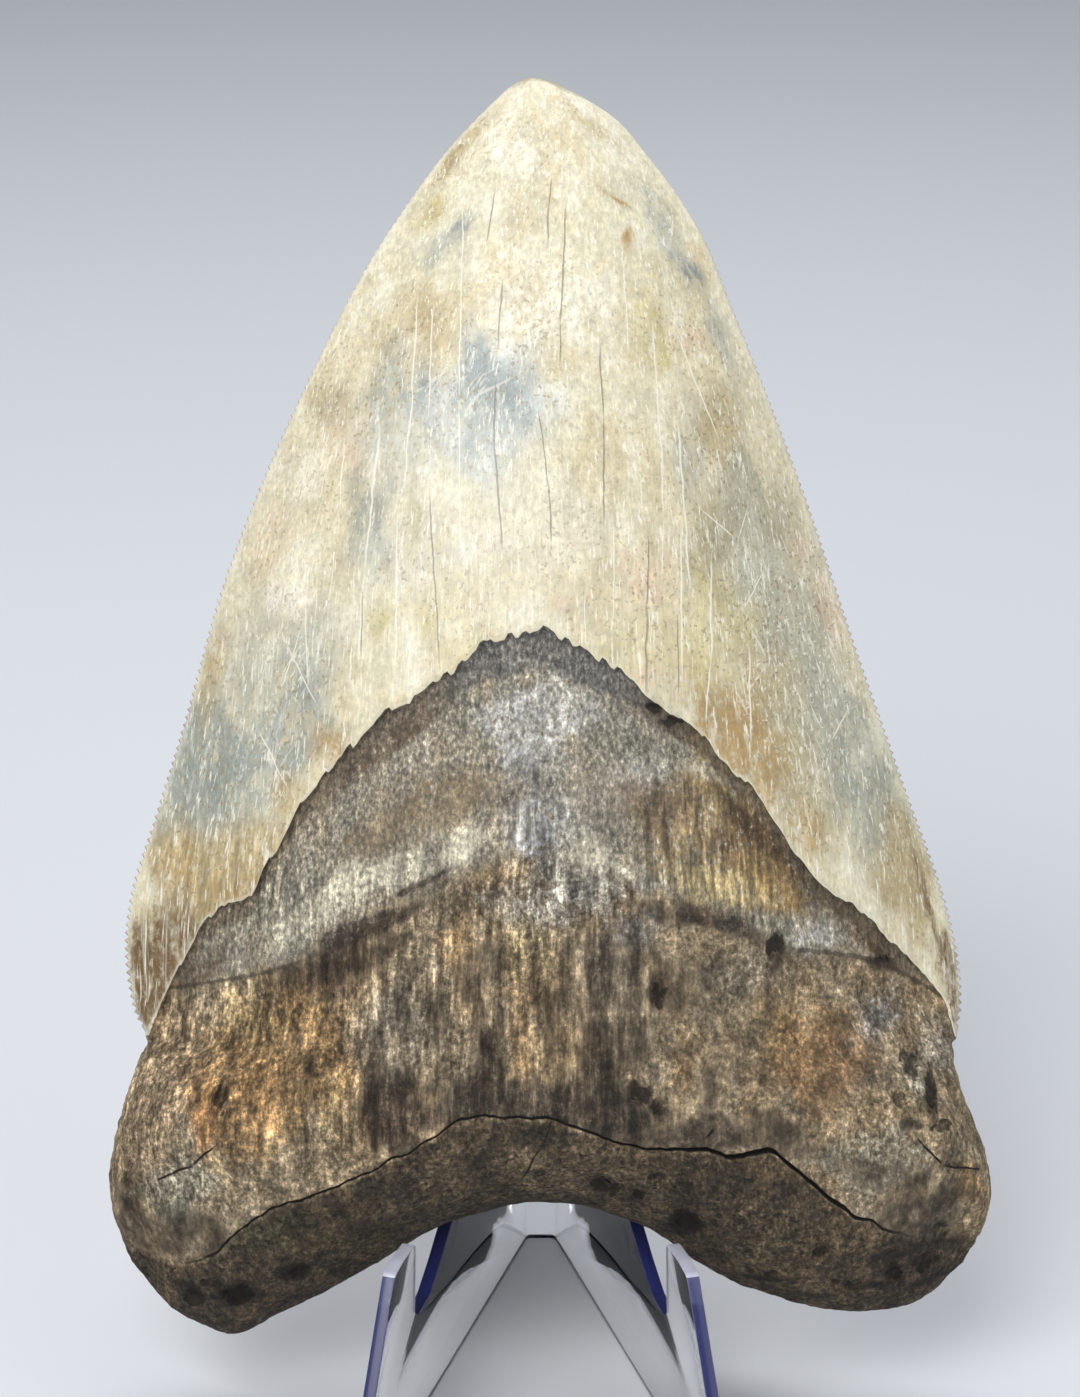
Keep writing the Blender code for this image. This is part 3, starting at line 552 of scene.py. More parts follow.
# Scratches and cracks as lines, each from (x, w) to (x, w), then half its width
BRIGHT_SCRATCHES = [(-9.9, 120.6, -10.4, 97, 0.13), (-10.4, 97, -10.2, 78.3, 0.12),
                    (-13.5, 108.1, -14.1, 95.2, 0.13), (-15.4, 109.4, -16.3, 93.3, 0.14),
                    (-16.3, 94.2, -17, 86.3, 0.14), (-19.9, 93.9, -21.9, 75.8, 0.18),
                    (-21.9, 76.2, -22.5, 65.2, 0.18), (-17.8, 84.3, -18.1, 63.5, 0.13),
                    (-24.2, 92, -24.8, 84, 0.11), (-28.9, 73.1, -28.6, 62.2, 0.12),
                    (13.9, 90.8, 14.3, 83.4, 0.13), (16, 94.8, 17.6, 73.3, 0.17),
                    (16.4, 82, 16.6, 63.1, 0.15), (20.1, 78, 20, 65.1, 0.15), (20, 65.1, 19.4, 58, 0.13),
                    (24.6, 67.5, 24.8, 55.3, 0.15), (8.3, 82, 8.3, 69.9, 0.1),
                    (4.9, 73.3, 4.9, 67.5, 0.1), (9.5, 113.5, 10, 102.4, 0.12),
                    (13, 106.1, 14.3, 87.3, 0.13), (15.8, 105.1, 21, 92, 0.12),
                    (18.9, 83.7, 22.7, 80.4, 0.12), (24.3, 83.4, 23.4, 80.4, 0.11),
                    (26.4, 76.3, 24, 71.8, 0.11), (36.5, 59.4, 34.8, 56.3, 0.12),
                    (-31, 67, -27.5, 60, 0.11), (-34.5, 57, -31, 50, 0.12), (-29.5, 69, -31.5, 63, 0.1)]
DARK_CRACKS = [(-6, 122.4, -7.1, 115.7, 0.09), (0.8, 123.4, 0.4, 120.1, 0.09),
               (0.4, 120.3, 0.4, 115.9, 0.1), (2.5, 120.5, 1.9, 105.6, 0.13),
               (1.9, 106.2, 1.9, 101.4, 0.11), (-5.1, 111.4, -5.7, 103, 0.12),
               (-6, 99.2, -6.1, 90.6, 0.1), (-6.1, 91.2, -5.2, 78.8, 0.14), (6.7, 103.4, 7.1, 94.6, 0.13),
               (7.1, 95.2, 7.2, 81.6, 0.13), (-0.8, 95.9, 0.5, 86.2, 0.08), (0.5, 87.2, 0.8, 79.4, 0.12),
               (12.6, 80.6, 12.3, 71.6, 0.12), (12.3, 73, 12.4, 61, 0.2), (-14, 86.3, -12.7, 64.6, 0.09),
               (-22, 74, -22.2, 66, 0.08), (16, 71, 16.2, 61.5, 0.08)]
HAIR_CRACKS = [(-47.2, 2.6, -42.8, 4.4, 0.22), (-42.8, 4.4, -39.8, 6.9, 0.2), (0.8, 10, -0.5, 6.5, 0.14),
               (-0.5, 6.5, -3, 2.3, 0.16), (19.4, 7.7, 20.4, 9.1, 0.3), (48.3, 4.6, 53, 4.2, 0.2),
               (45, 8, 48.3, 4.6, 0.2)]

# Marks nearer to each other than this are kept in separate layers
MARK_GAP = 2.6


def as_seen(points):
    """x and w of points of the skin where they look to be from the viewing distance."""
    nearer = VIEW_DISTANCE / (VIEW_DISTANCE - points[..., 2])
    return (VIEW_CENTRE[0] + (points[..., 0] - VIEW_CENTRE[0]) * nearer,
            VIEW_CENTRE[1] + (points[..., 1] - VIEW_CENTRE[1]) * nearer)


def away_from(x, w, patch):
    """Distance from the middle of a tilted oval, 1 on its outline."""
    px, pw, half_x, half_w, tilt, _ = patch
    c, s = math.cos(math.radians(tilt)), math.sin(math.radians(tilt))
    right, up = x - px, w - pw
    return uneven((right * c + up * s) / half_x, (up * c - right * s) / half_w, px + pw)


def stain_field(x, w, tables):
    """Tint and cover of the stains of a region at each point, as rows of four."""
    laid = np.zeros((*x.shape, 4))
    nearby = np.full((*x.shape, 4), 1e-9)
    for tint, table in tables.items():
        for patch in table:
            away = away_from(x, w, patch)
            cover = (patch[5] * (1 - ease(away, 0.3, 1.5)))[..., None]
            laid = laid * (1 - cover) + np.array([*tint, 1.0]) * cover
            nearby += np.array([*tint, 1.0]) / (0.05 + away[..., None] ** 4)
    blended = laid + nearby * 0.001 / nearby[..., 3:]
    return np.concatenate([blended[..., :3] / blended[..., 3:], laid[..., 3:]], axis=-1)


def from_line(x, w, line_row):
    """Signed distance across a line and share of the way along it."""
    x0, w0, x1, w1, _ = line_row
    length = math.hypot(x1 - x0, w1 - w0)
    ex, ew = (x1 - x0) / length, (w1 - w0) / length
    return (x - x0) * ew - (w - w0) * ex, ((x - x0) * ex + (w - w0) * ew) / length


def kept_apart(table):
    """The lines sorted into groups in which no two come near each other."""
    groups = []
    share = np.linspace(-0.05, 1.05, 23)
    for row in table:
        x, w = row[0] + (row[2] - row[0]) * share, row[1] + (row[3] - row[1]) * share

        def free(group):
            for other in group:
                across_it, along_it = from_line(x, w, other)
                past = np.maximum(0, np.abs(along_it - 0.5) - 0.55) * math.hypot(
                    other[2] - other[0], other[3] - other[1])
                if np.hypot(across_it, past).min() < MARK_GAP:
                    return False
            return True

        home = next((group for group in groups if free(group)), None)
        if home is None:
            groups.append([row])
        else:
            home.append(row)
    return groups


def line_field(x, w, group):
    """Distance across the nearest line in half widths, and how strong the line is there."""
    nearest = np.full(x.shape, 1e3)
    field = np.zeros((*x.shape, 3))
    for row in group:
        across_it, along_it = from_line(x, w, row)
        length = math.hypot(row[2] - row[0], row[3] - row[1])
        past = np.maximum(0, np.abs(along_it - 0.5) - 0.5) * length
        reach = np.hypot(across_it, past)
        strong = 1 - ease(np.abs(along_it - 0.5), 0.36, 0.54)
        strong = strong * (1 - ease(np.abs(across_it), 0.6, 1.2))
        closer = reach < nearest
        nearest = np.where(closer, reach, nearest)
        field[closer] = np.stack([across_it / row[4], strong, np.zeros(x.shape)], -1)[closer]
    return field


def both(front_values, back_values):
    """Values of both sheets in the order of the mesh's points."""
    front_whole = np.broadcast_to(front_values, (*front_fresh.shape, *np.shape(front_values)[2:]))
    back_whole = np.broadcast_to(back_values, (*back_fresh.shape, *np.shape(front_values)[2:]))
    return np.concatenate([front_whole[front_fresh], back_whole[back_fresh]])


def add_layer(mesh, name, kind, domain, field, values):
    """Store a value on each point or face of a mesh."""
    layer = mesh.attributes.new(name, kind, domain)
    layer.data.foreach_set(field, values.astype(np.float32).ravel())


# What the relief and the finish need to know at each point, in millimetres
front_x = front_points[..., 0]
seen_x, seen_w = as_seen(front_points)
over_enamel = front_w - line
over_foot = front_w - collar_foot(front_x)
over_crack = front_w - crack
known = {
    "enamel": both(over_enamel, back_w - line_back[::2]),
    "collar": both(over_foot, -20.0),
    "crack": both(over_crack, 30.0),
    "edge": both(front_near, back_near),
    "front": both(np.ones(front_w.shape), 0.0),
    "pit": both(pit_depth(front_x, front_w), 0.0),
    "bite": both(biting(u, front_w, 1), biting(back_u, back_w, 2)),
    "scuffed": both(stain_field(seen_x, seen_w, {(1, 1, 1): SCUFFED})[..., 3], 0.0),
    "striped": both(stain_field(seen_x, seen_w, {(1, 1, 1): STRIPED})[..., 3], 0.0),
}
for name, values in known.items():
    add_layer(skin, name, "FLOAT", "POINT", "value", values)

stain_rows = stain_field(seen_x, seen_w, UNDER_PATCHES)
for higher, tables in ((over_crack > -0.2, BODY_PATCHES), (over_enamel > -0.05, ENAMEL_PATCHES)):
    stain_rows[higher] = stain_field(seen_x[higher], seen_w[higher], tables)
add_layer(skin, "stain", "FLOAT_COLOR", "POINT", "color", both(stain_rows, np.zeros(4)))

mark_layers = {}
for kind, table in (("bright", BRIGHT_SCRATCHES), ("dark", DARK_CRACKS), ("hair", HAIR_CRACKS)):
    mark_layers[kind] = []
    for group in kept_apart(table):
        name = f"{kind}_{len(mark_layers[kind])}"
        add_layer(skin, name, "FLOAT_VECTOR", "POINT", "vector",
                  both(line_field(seen_x, seen_w, group), np.zeros(3)))
        mark_layers[kind].append(name)


def put_in_scene(name, data):
    """A new object with this data, in the scene."""
    made = bpy.data.objects.new(name, data)
    bpy.context.scene.collection.objects.link(made)
    return made


tooth = put_in_scene("fossil_tooth", skin)


class Wire:
    """A node socket that can be added, subtracted, multiplied and divided like a number."""

    def __init__(self, tree, socket=None):
        self.tree = tree
        self.socket = socket

    def make(self, kind, settings=None, inputs=None, output=0):
        """Add any node: its settings come first, then the values or links of its sockets."""
        node = self.tree.nodes.new(kind)
        for name, value in (settings or {}).items():
            setattr(node, name, value)
        for name, value in (inputs or {}).items():
            if isinstance(value, Wire):
                self.tree.links.new(value.socket, node.inputs[name])
            else:
                node.inputs[name].default_value = value
        return Wire(self.tree, node.outputs[output])

    def beside(self, output):
        """Another output of the same node."""
        return Wire(self.tree, self.socket.node.outputs[output])

    def into(self, node, name):
        """Lead this wire to a socket of a node."""
        self.tree.links.new(self.socket, node.inputs[name])

    def maths(self, operation, a, b=0.0):
        return self.make("ShaderNodeMath", {"operation": operation}, {0: a, 1: b})

    def __add__(self, other):
        return self.maths("ADD", self, other)

    def __sub__(self, other):
        return self.maths("SUBTRACT", self, other)

    def __rsub__(self, other):
        return self.maths("SUBTRACT", other, self)

    def __mul__(self, other):
        return self.maths("MULTIPLY", self, other)

    def __truediv__(self, other):
        return self.maths("DIVIDE", self, other)

    def __rtruediv__(self, other):
        return self.maths("DIVIDE", other, self)

    __radd__ = __add__
    __rmul__ = __mul__

    def most(self, other):
        return self.maths("MAXIMUM", self, other)

    def size(self):
        return self.maths("ABSOLUTE", self)

    def rise(self, low, high):
        """0 below low and 1 above high, smooth between; low may be above high."""
        return self.make("ShaderNodeMapRange", {"interpolation_type": "SMOOTHSTEP"},
                         {"Value": self, "From Min": low, "From Max": high})

    def vector(self, operation, other=None, third=None):
        """Vector maths with one, two or three vectors."""
        inputs = {0: self}
        if other is not None:
            inputs[3 if operation == "SCALE" else 1] = other
        if third is not None:
            inputs[2] = third
        return self.make("ShaderNodeVectorMath", {"operation": operation}, inputs)

    def lit(self, stops):
        """This colour made lighter or darker by a number of doublings."""
        return self.vector("SCALE", self.maths("POWER", 2.0, stops))

    def mix(self, share, other):
        """Blend this colour towards another wire or plain colour by a share."""
        end = other if isinstance(other, Wire) else (*other, 1.0)
        return self.make("ShaderNodeMix", {"data_type": "RGBA"}, {0: share, 6: self, 7: end}, 2)


def new_material(name):
    """A material and its main shader."""
    made = bpy.data.materials.new(name)
    made.use_nodes = True
    return made, made.node_tree.nodes["Principled BSDF"]


def set_sockets(node, values):
    """Set sockets of a node by name."""
    for name, value in values.items():
        node.inputs[name].default_value = value


def keep_worked(thing, modifier):
    """Give an object the mesh that its modifier makes of it, and take the modifier off."""
    bpy.context.view_layer.update()
    made = bpy.data.meshes.new_from_object(
        thing.evaluated_get(bpy.context.evaluated_depsgraph_get()))
    thing.modifiers.remove(modifier)
    thing.data = made
    return made


def grain(lay, size, stretch=1.0, detail=3.0, rough=0.55, salt=0.0):
    """Cloudy noise with features of a size in mm, drawn out along the tooth by a stretch."""
    spread = lay.vector("MULTIPLY_ADD", (1 / size, 1 / (size * stretch), 1 / size),
                        (salt * 7.3, salt * 3.1, salt * 5.7))
    return lay.make("ShaderNodeTexNoise", None,
                    {"Vector": spread, "Scale": 1.0, "Detail": detail, "Roughness": rough})


# Relief that a tree of nodes works into the skin: the serrations of both cutting edges, the
# grain and fibre of the root, and the faint ribs of the band. All of it is cut inwards.
RELIEF = {"Serration Depth": SERRATION_DEPTH, "Grain Size": 1.5, "Grain Height": 0.6,
          "Fibre Size": 1.5, "Fibre Height": 0.55, "Dent Size": 5.5, "Dent Height": 0.9,
          "Band Rib Height": 0.2, "Enamel Ripple": 0.12, "Seed": 3.0}

relief = bpy.data.node_groups.new("Tooth relief", "GeometryNodeTree")
relief.interface.new_socket("Skin", in_out="INPUT", socket_type="NodeSocketGeometry")
relief.interface.new_socket("Skin", in_out="OUTPUT", socket_type="NodeSocketGeometry")
relief_ids = {name: relief.interface.new_socket(name, in_out="INPUT",
                                                socket_type="NodeSocketFloat").identifier
              for name in RELIEF}
relief_ids["Finish"] = relief.interface.new_socket("Finish", in_out="INPUT",
                                                   socket_type="NodeSocketMaterial").identifier
given = Wire(relief).make("NodeGroupInput")
size_of = {name: given.beside(name) for name in RELIEF}


def point_value(name):
    return given.make("GeometryNodeInputNamedAttribute", {"data_type": "FLOAT"}, {"Name": name})


place = given.make("GeometryNodeInputPosition")
from_arch = place.vector("SUBTRACT", tuple(ARCH_PLACE * MM))
laid = given.make("ShaderNodeVectorRotate", {"rotation_type": "X_AXIS"},
                  {"Vector": from_arch, "Angle": LEAN - math.pi / 2}).vector("SCALE", 1 / MM)
salted = laid.vector("ADD", given.make("ShaderNodeCombineXYZ", None, {"Z": size_of["Seed"] * 40}))


def cloud(size, stretch, detail):
    """Noise of a size that comes from an input of the tree."""
    drawn = salted.vector("MULTIPLY", (1.0, 1 / stretch, 1.0)).vector("SCALE", 1 / size)
    return given.make("ShaderNodeTexNoise", None, {"Vector": drawn, "Scale": 1.0, "Detail": detail})


below_enamel = point_value("enamel").rise(-0.1, -0.7)
is_root = point_value("collar").rise(0.6, -1.2)
smooth_foot = 1 - 0.6 * point_value("crack").rise(0.0, -1.2)
pitted = cloud(size_of["Grain Size"], 1.3, 3.0)
fibrous = (cloud(size_of["Fibre Size"], 9.0, 2.0) - 0.5).size() * 2
ribs = cloud(size_of["Fibre Size"], 30.0, 2.0)
dents = cloud(size_of["Dent Size"], 1.2, 3.0) - 0.3
cut = below_enamel * is_root * (dents.most(0.0) * size_of["Dent Height"] + smooth_foot * (
    pitted * size_of["Grain Height"] + fibrous * size_of["Fibre Height"]))
cut = cut + below_enamel * (1 - is_root) * (
    ribs * size_of["Band Rib Height"] + pitted * size_of["Grain Height"] * 0.3)
ripple = cloud(size_of["Fibre Size"] * 3, 30.0, 1.0) * size_of["Enamel Ripple"]
cut = cut + (1 - below_enamel) * ripple * point_value("edge").rise(0.0, 2.5)
straight = given.make("ShaderNodeCombineXYZ", None, {"Y": -math.cos(LEAN), "Z": math.sin(LEAN)})
by_crack = (point_value("crack").size().rise(0.9, 0.4) * point_value("edge").rise(1.5, 6.0)
            * point_value("front"))
outward = given.make("ShaderNodeMix", {"data_type": "VECTOR"}, {
    0: by_crack, 4: given.make("GeometryNodeInputNormal"), 5: straight}, 1)
inwards = outward.vector("SCALE", cut * -MM)
bitten = given.make("ShaderNodeCombineXYZ", None,
                    {"X": point_value("bite") * size_of["Serration Depth"] * MM})
worked = given.make("GeometryNodeSetPosition", None,
                    {"Geometry": given.beside("Skin"), "Offset": inwards.vector("ADD", bitten)})
real = worked.make("GeometryNodeRealizeInstances", None, {"Geometry": worked})
finished = real.make("GeometryNodeSetMaterial", None,
                     {"Geometry": real, "Material": given.beside("Finish")})
finished.into(relief.nodes.new("NodeGroupOutput"), "Skin")

finish, shader = new_material("fossil")
coords = Wire(finish.node_tree).make("ShaderNodeTexCoord", None, None, 3)
lay = coords.make("ShaderNodeMapping", None, {
    "Vector": coords, "Scale": (1 / MM, 1 / MM, 1 / MM), "Rotation": (LEAN - math.pi / 2, 0, 0),
    "Location": tuple(-(turn_up @ np.array(ARCH_PLACE)))})


def skin_value(name):
    return lay.make("ShaderNodeAttribute", {"attribute_name": name}, None, 2)


ragged_wide = grain(lay, 3.2, 1.6, 3.0, 0.65, 1) - 0.5
ragged_fine = grain(lay, 0.9, 1.4, 3.0, 0.6, 2) - 0.5
wander = (grain(lay, 5.0, 1.0, 2.0, 0.6, 3) - 0.5) * 5


def lines(kind, ragged=0.6):
    """How far thin marks that taper at both ends cover the surface, from 0 to 1."""
    covered = 0.0
    for name in mark_layers[kind]:
        whole = lay.make("ShaderNodeAttribute", {"attribute_name": name}, None, 1)
        distance = lay.make("ShaderNodeSeparateXYZ", None, {0: whole})
        off = (distance + wander).size() + ragged_fine * ragged
        covered = (off.rise(0.95, 0.35) * distance.beside(1)).most(covered)
    return covered


def blend(first, *others):
    """A colour with others laid over it, each with its share."""
    made = lay.make("ShaderNodeRGB")
    made.socket.default_value = (*first, 1.0)
    for share, tint in others:
        made = made.mix(share, tint)
    return made


front = skin_value("front")
above = skin_value("enamel")
split = skin_value("crack")
striped = skin_value("striped")
stain = lay.make("ShaderNodeAttribute", {"attribute_name": "stain"})
along = lay.make("ShaderNodeSeparateXYZ", None, {0: lay}).size()
clouds = grain(lay, 8.0, 1.8, 4.0, 0.6, 4)
clouds_small = grain(lay, 3.2, 2.0, 4.0, 0.6, 5)
speckle = grain(lay, 0.7, 1.4, 4.0, 0.7, 6)
streaks = grain(lay, 0.9, 22.0, 3.0, 0.6, 8)
streaks_fine = grain(lay, 0.3, 40.0, 2.0, 0.6, 9)
bands = grain(lay, 3.0, 14.0, 2.0, 0.5, 10)
ribbed = grain(lay, 0.8, 18.0, 2.0, 0.6, 15)
patchy = 1 + ragged_wide * 1.6 + ragged_fine * 1.4 + (streaks - 0.5) * 1.4
stained = (stain.beside(3) * (patchy + (speckle - 0.5) * 2.5)).rise(0.0, 0.95)
crumbs = grain(lay, 0.55, 1.3, 5.0, 0.8, 14)
stained_body = (stain.beside(3) * (patchy + (crumbs - 0.5) * 5.0)).rise(0.05, 0.85)

# Enamel: ivory, clouded with cream and grey, stained, scratched, and cracked in fine lines
IVORY = (0.66, 0.61, 0.44)
CREAM = (0.63, 0.53, 0.32)
CLOUD_GREY = (0.54, 0.55, 0.49)
PALE_IVORY = (0.73, 0.70, 0.57)
STREAK_IVORY = (0.76, 0.72, 0.58)
PEPPER_BROWN = (0.26, 0.21, 0.13)
SCRATCH_WHITE = (0.84, 0.81, 0.69)
CRACK_BROWN = (0.18, 0.16, 0.12)
RIM_IVORY = (0.74, 0.70, 0.57)
LIP_IVORY_HIGHLIGHT = (0.78, 0.72, 0.54)
enamel = blend(IVORY, (clouds.rise(0.44, 0.62) * 0.6, CREAM),
               (clouds_small.rise(0.5, 0.66) * 0.45, CLOUD_GREY),
               (bands.rise(0.5, 0.7) * 0.4, PALE_IVORY))
enamel = enamel.mix(stained, stain)
enamel = enamel.mix(streaks.rise(0.54, 0.68) * 0.4, STREAK_IVORY)
enamel = enamel.lit((clouds_small - 0.5) * 1.3 + (speckle - 0.5) * 1.4 + (streaks_fine - 0.5) * 0.6
                    + (ribbed - 0.5) * striped * 2.5)
pepper = grain(lay, 0.5, 1.2, 1.0, 0.5, 7).rise(0.60, 0.68)
pepper_share = 0.1 + stain.beside(3) * 1.8 + clouds.rise(0.45, 0.6) * 0.6
enamel = enamel.mix(pepper * pepper_share * 0.35, PEPPER_BROWN)


def slanted(angle, salt):
    """Long thin threads at an angle, from noise drawn out far."""
    turned = lay.make("ShaderNodeMapping", None, {
        "Vector": lay, "Rotation": (0, 0, math.radians(angle)), "Location": (salt, 0, 0)})
    return grain(turned, 0.5, 16.0, 1.0, 0.5, salt).rise(0.66, 0.72)


scuffs = slanted(35, 1).most(slanted(-28, 2)).most(slanted(62, 3)) * skin_value("scuffed") * 0.8
long_streaks = streaks_fine.rise(0.57, 0.64) * streaks.rise(0.42, 0.56)
scratches = lines("bright").most(scuffs).most(long_streaks)
enamel = enamel.mix(scratches * 0.75, SCRATCH_WHITE)
cracks = lines("dark", 0.9)
enamel = enamel.mix(cracks * 0.6, CRACK_BROWN)
rim = (skin_value("edge") + ragged_fine * 0.7).rise(1.2, 0.4)
enamel = enamel.mix(rim * 0.4, RIM_IVORY)
# A pale lip just above the enamel's lower edge: partly the enamel's pale edge, partly a painted highlight
# where the step catches the light
enamel = enamel.mix((above + ragged_fine * 0.8).rise(0.75, 0.15) * front * 0.55, LIP_IVORY_HIGHLIGHT)

# Band under the enamel: satin grey-brown with fine ribs, darkest just under the enamel, with a thin painted
# shadow right under the enamel's lip
band_reach = 2.7 + 1.9 * (along + ragged_wide * 6).rise(14.0, 3.0)
peppered = grain(lay, 0.45, 1.8, 4.0, 0.75, 11)
BAND_GREY_BROWN = (0.25, 0.225, 0.17)
BAND_BROWN = (0.19, 0.15, 0.095)
BAND_PALE = (0.30, 0.285, 0.245)
TOP_OF_BAND_GREY = (0.105, 0.103, 0.098)
TOP_OF_BAND_BROWN = (0.105, 0.080, 0.052)
LIP_SHADE = (0.03, 0.025, 0.02)
collar = blend(BAND_GREY_BROWN, (clouds_small.rise(0.45, 0.62) * 0.6, BAND_BROWN),
               (bands.rise(0.5, 0.7) * 0.4, BAND_PALE))
collar = collar.mix(stained_body, stain)
dark_band = (above + ragged_wide * 2.4 + ragged_fine * 1.6 + band_reach).rise(-0.7, 0.6) * front
band_tint = blend(TOP_OF_BAND_GREY, (along.rise(8.0, 15.0), TOP_OF_BAND_BROWN))
collar = collar.mix(dark_band * 0.8, band_tint)
collar = collar.lit((peppered - 0.5) * (9.0 - 3.5 * stained_body)
                    + (ribbed - 0.5) * (1.0 + striped * 6.0) + (clouds_small - 0.5) * 3.0)
# Painted shadow in a thin line right under the enamel's lip
shadow_under_lip = (above + ragged_fine * 0.4).rise(-0.26, -0.04)
collar = collar.mix(shadow_under_lip * 0.6, LIP_SHADE)

# Root: brown and ochre, fibrous upwards, granular, with dark blotches and rust
fibres = grain(lay, 0.9, 8.0, 4.0, 0.7, 12)
fibres_wide = grain(lay, 2.4, 8.0, 3.0, 0.6, 13)
clods = grain(lay, 1.9, 1.2, 3.0, 0.6, 17)
ROOT_BROWN = (0.30, 0.235, 0.15)
ROOT_OCHRE = (0.34, 0.235, 0.125)
ROOT_DARK = (0.20, 0.165, 0.12)
FIBRE_TAN = (0.40, 0.305, 0.18)
root = blend(ROOT_BROWN, (clouds.rise(0.42, 0.6) * 0.6, ROOT_OCHRE),
             (clouds_small.rise(0.5, 0.66) * 0.6, ROOT_DARK),
             (fibres_wide.rise(0.5, 0.62) * 0.5, FIBRE_TAN))
root = root.mix(stained_body, stain)
axes = lay.make("ShaderNodeSeparateXYZ", None, {0: lay})
fibre_share = (1 - 0.8 * axes.rise(4.0, 20.0)) * (0.3 + 0.7 * axes.beside(1).rise(2.0, 12.0))
root = root.lit((fibres - 0.5) * fibre_share * 7.5 + (fibres_wide - 0.5) * fibre_share * 4.5
                + (crumbs - 0.5) * 9.0 + (speckle - 0.5) * 3.0 + (clouds_small - 0.5) * 4.0
                + (clods - 0.5) * (2.0 + (1 - fibre_share) * 2.5))

# Underside of the root, below the crack: smoother and darker, its darkness partly its own brown and partly
# painted shade for a surface that faces down
SHADED_UNDER_BROWN = (0.070, 0.053, 0.034)
SHADED_UNDER_WARM = (0.10, 0.068, 0.036)
SHADED_UNDER_OLIVE = (0.064, 0.055, 0.034)
PORE_BLACK = (0.012, 0.009, 0.007)
under = blend(SHADED_UNDER_BROWN, (clouds_small.rise(0.44, 0.6) * 0.6, SHADED_UNDER_WARM),
              (clouds.rise(0.5, 0.62) * 0.4, SHADED_UNDER_OLIVE))
under = under.mix(stained, stain)
under = under.lit((speckle - 0.5) * 6.0 + (crumbs - 0.5) * 8.0 + (clouds_small - 0.5) * 4.0)
pores = grain(lay, 1.1, 0.6, 2.0, 0.5, 16).rise(0.37, 0.31)
under = under.mix(pores * 0.8, PORE_BLACK)
# Below the crack the root takes the underside's colour, painted shade included
root = root.mix((split + ragged_fine * 0.6 + ragged_wide * 1.2).rise(0.4, -0.9) * front, under)

# Band and root meet along a ragged line, sharp at the sides, darkened there by a painted shade line, and
# both are holed and cracked
FOOT_SHADE = (0.05, 0.038, 0.026)
HOLE_BROWN = (0.018, 0.014, 0.011)
CRACK_BLACK = (0.010, 0.008, 0.007)
sharp_foot = along.rise(20.0, 34.0)
over_band_foot = skin_value("collar")
is_root_here = (over_band_foot + ragged_wide * 7 * (1 - sharp_foot)).rise(1.8, -1.8)
foot_shade_line = (over_band_foot.size() + ragged_fine * 1.2).rise(0.4, 0.1) * sharp_foot * front
body = collar.mix(is_root_here, root)
# Painted shade along the line where the band meets the root
body = body.mix(foot_shade_line * 0.7, FOOT_SHADE)
hair = lines("hair", 1.2)
hole = (skin_value("pit") + ragged_fine * 1.7).rise(0.22, 0.7)
body = body.mix(hair.most(hole * 0.8), HOLE_BROWN)
wide_part = axes.rise(12.0, 25.0) * axes.rise(40.0, 33.0)
fissure = (split.size() + ragged_fine * 0.3 - wide_part * 0.2).rise(0.22, 0.08) * front
body = body.mix(fissure * along.rise(46.0, 38.0), CRACK_BLACK)

is_enamel = (above + ragged_fine * 0.1).rise(-0.07, 0.07)
colour = body.mix(is_enamel, enamel)
colour.into(shader, "Base Color")
enamel_gloss = 0.36 + 0.18 * speckle + 0.16 * scratches
body_gloss = 0.6 + 0.3 * is_root_here + 0.2 * (peppered - 0.5)
(is_enamel * enamel_gloss + (1 - is_enamel) * body_gloss).into(shader, "Roughness")
(is_enamel * 0.22).into(shader, "Coat Weight")
set_sockets(shader, {"Coat Roughness": 0.2, "IOR": 1.5, "Specular IOR Level": 0.4})

# Fine relief of the finish, in millimetres
enamel_height = scratches * 0.012 - cracks * 0.07 + streaks * 0.03 + speckle * 0.008
body_height = (crumbs * 0.7 + fibres * 0.35) * (0.3 + 0.7 * is_root_here) + peppered * 0.12
body_height = body_height - hair * 0.3
fine_height = is_enamel * enamel_height + (1 - is_enamel) * body_height
lay.make("ShaderNodeBump", None, {"Strength": 1.0, "Distance": MM, "Height": fine_height}).into(
    shader, "Normal")

modifier = tooth.modifiers.new("Relief", "NODES")
modifier.node_group = relief
for name, value in {**RELIEF, "Finish": finish}.items():
    modifier[relief_ids[name]] = value
keep_worked(tooth, modifier).name = "fossil_tooth"
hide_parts("tooth")
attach(tooth, "root")

# The easel
# One sheet of clear acrylic, cut to shape, its edges broken, and bent twice at the back, so
# that two wings splay forward. Each wing has a notch for the root and a prong in front of it.
SHEET = 1.6
SPINE_PLACE = (-1.0, 22.6)
SPINE_FLAT = 2.4
BEND_RADIUS = 1.6
BEND_STEPS = 14
FLAT_STRIP = 0.4
SPLAY = math.radians(16.7)
SPINE_HEIGHT = 62.0
EDGE_BREAK = 0.16
LIT_ABOVE = 19.0
LIT_BEFORE = -15.0
CLEAR_BLUE = (0.50, 0.54, 0.88, 1)
EDGE_NAVY_SHADE = (0.02, 0.026, 0.13, 1)
EDGE_WHITE_HIGHLIGHT = (0.60, 0.61, 0.72)

# Outline of one wing as (distance forward of the bend, z, radius of the corner), from its
# foot to the spine's head, whose corner stays where the bend begins
WING = [(67, 0, 0.3), (51.8, 23.8, 0.8), (49, 24.1, 0.8), (44.2, 23.9, 0.9), (44.9, 14.8, 0.3),
        (43.9, 14, 0.3), (39.5, 14.2, 2), (35, 16.6, 3), (30.6, 19.4, 3), (27, 20.4, 1.5),
        (24.4, 21.5, 1), (22.8, 22.9, 1), (21.7, 24.9, 1.5), (10.6, SPINE_HEIGHT, 2.5)]


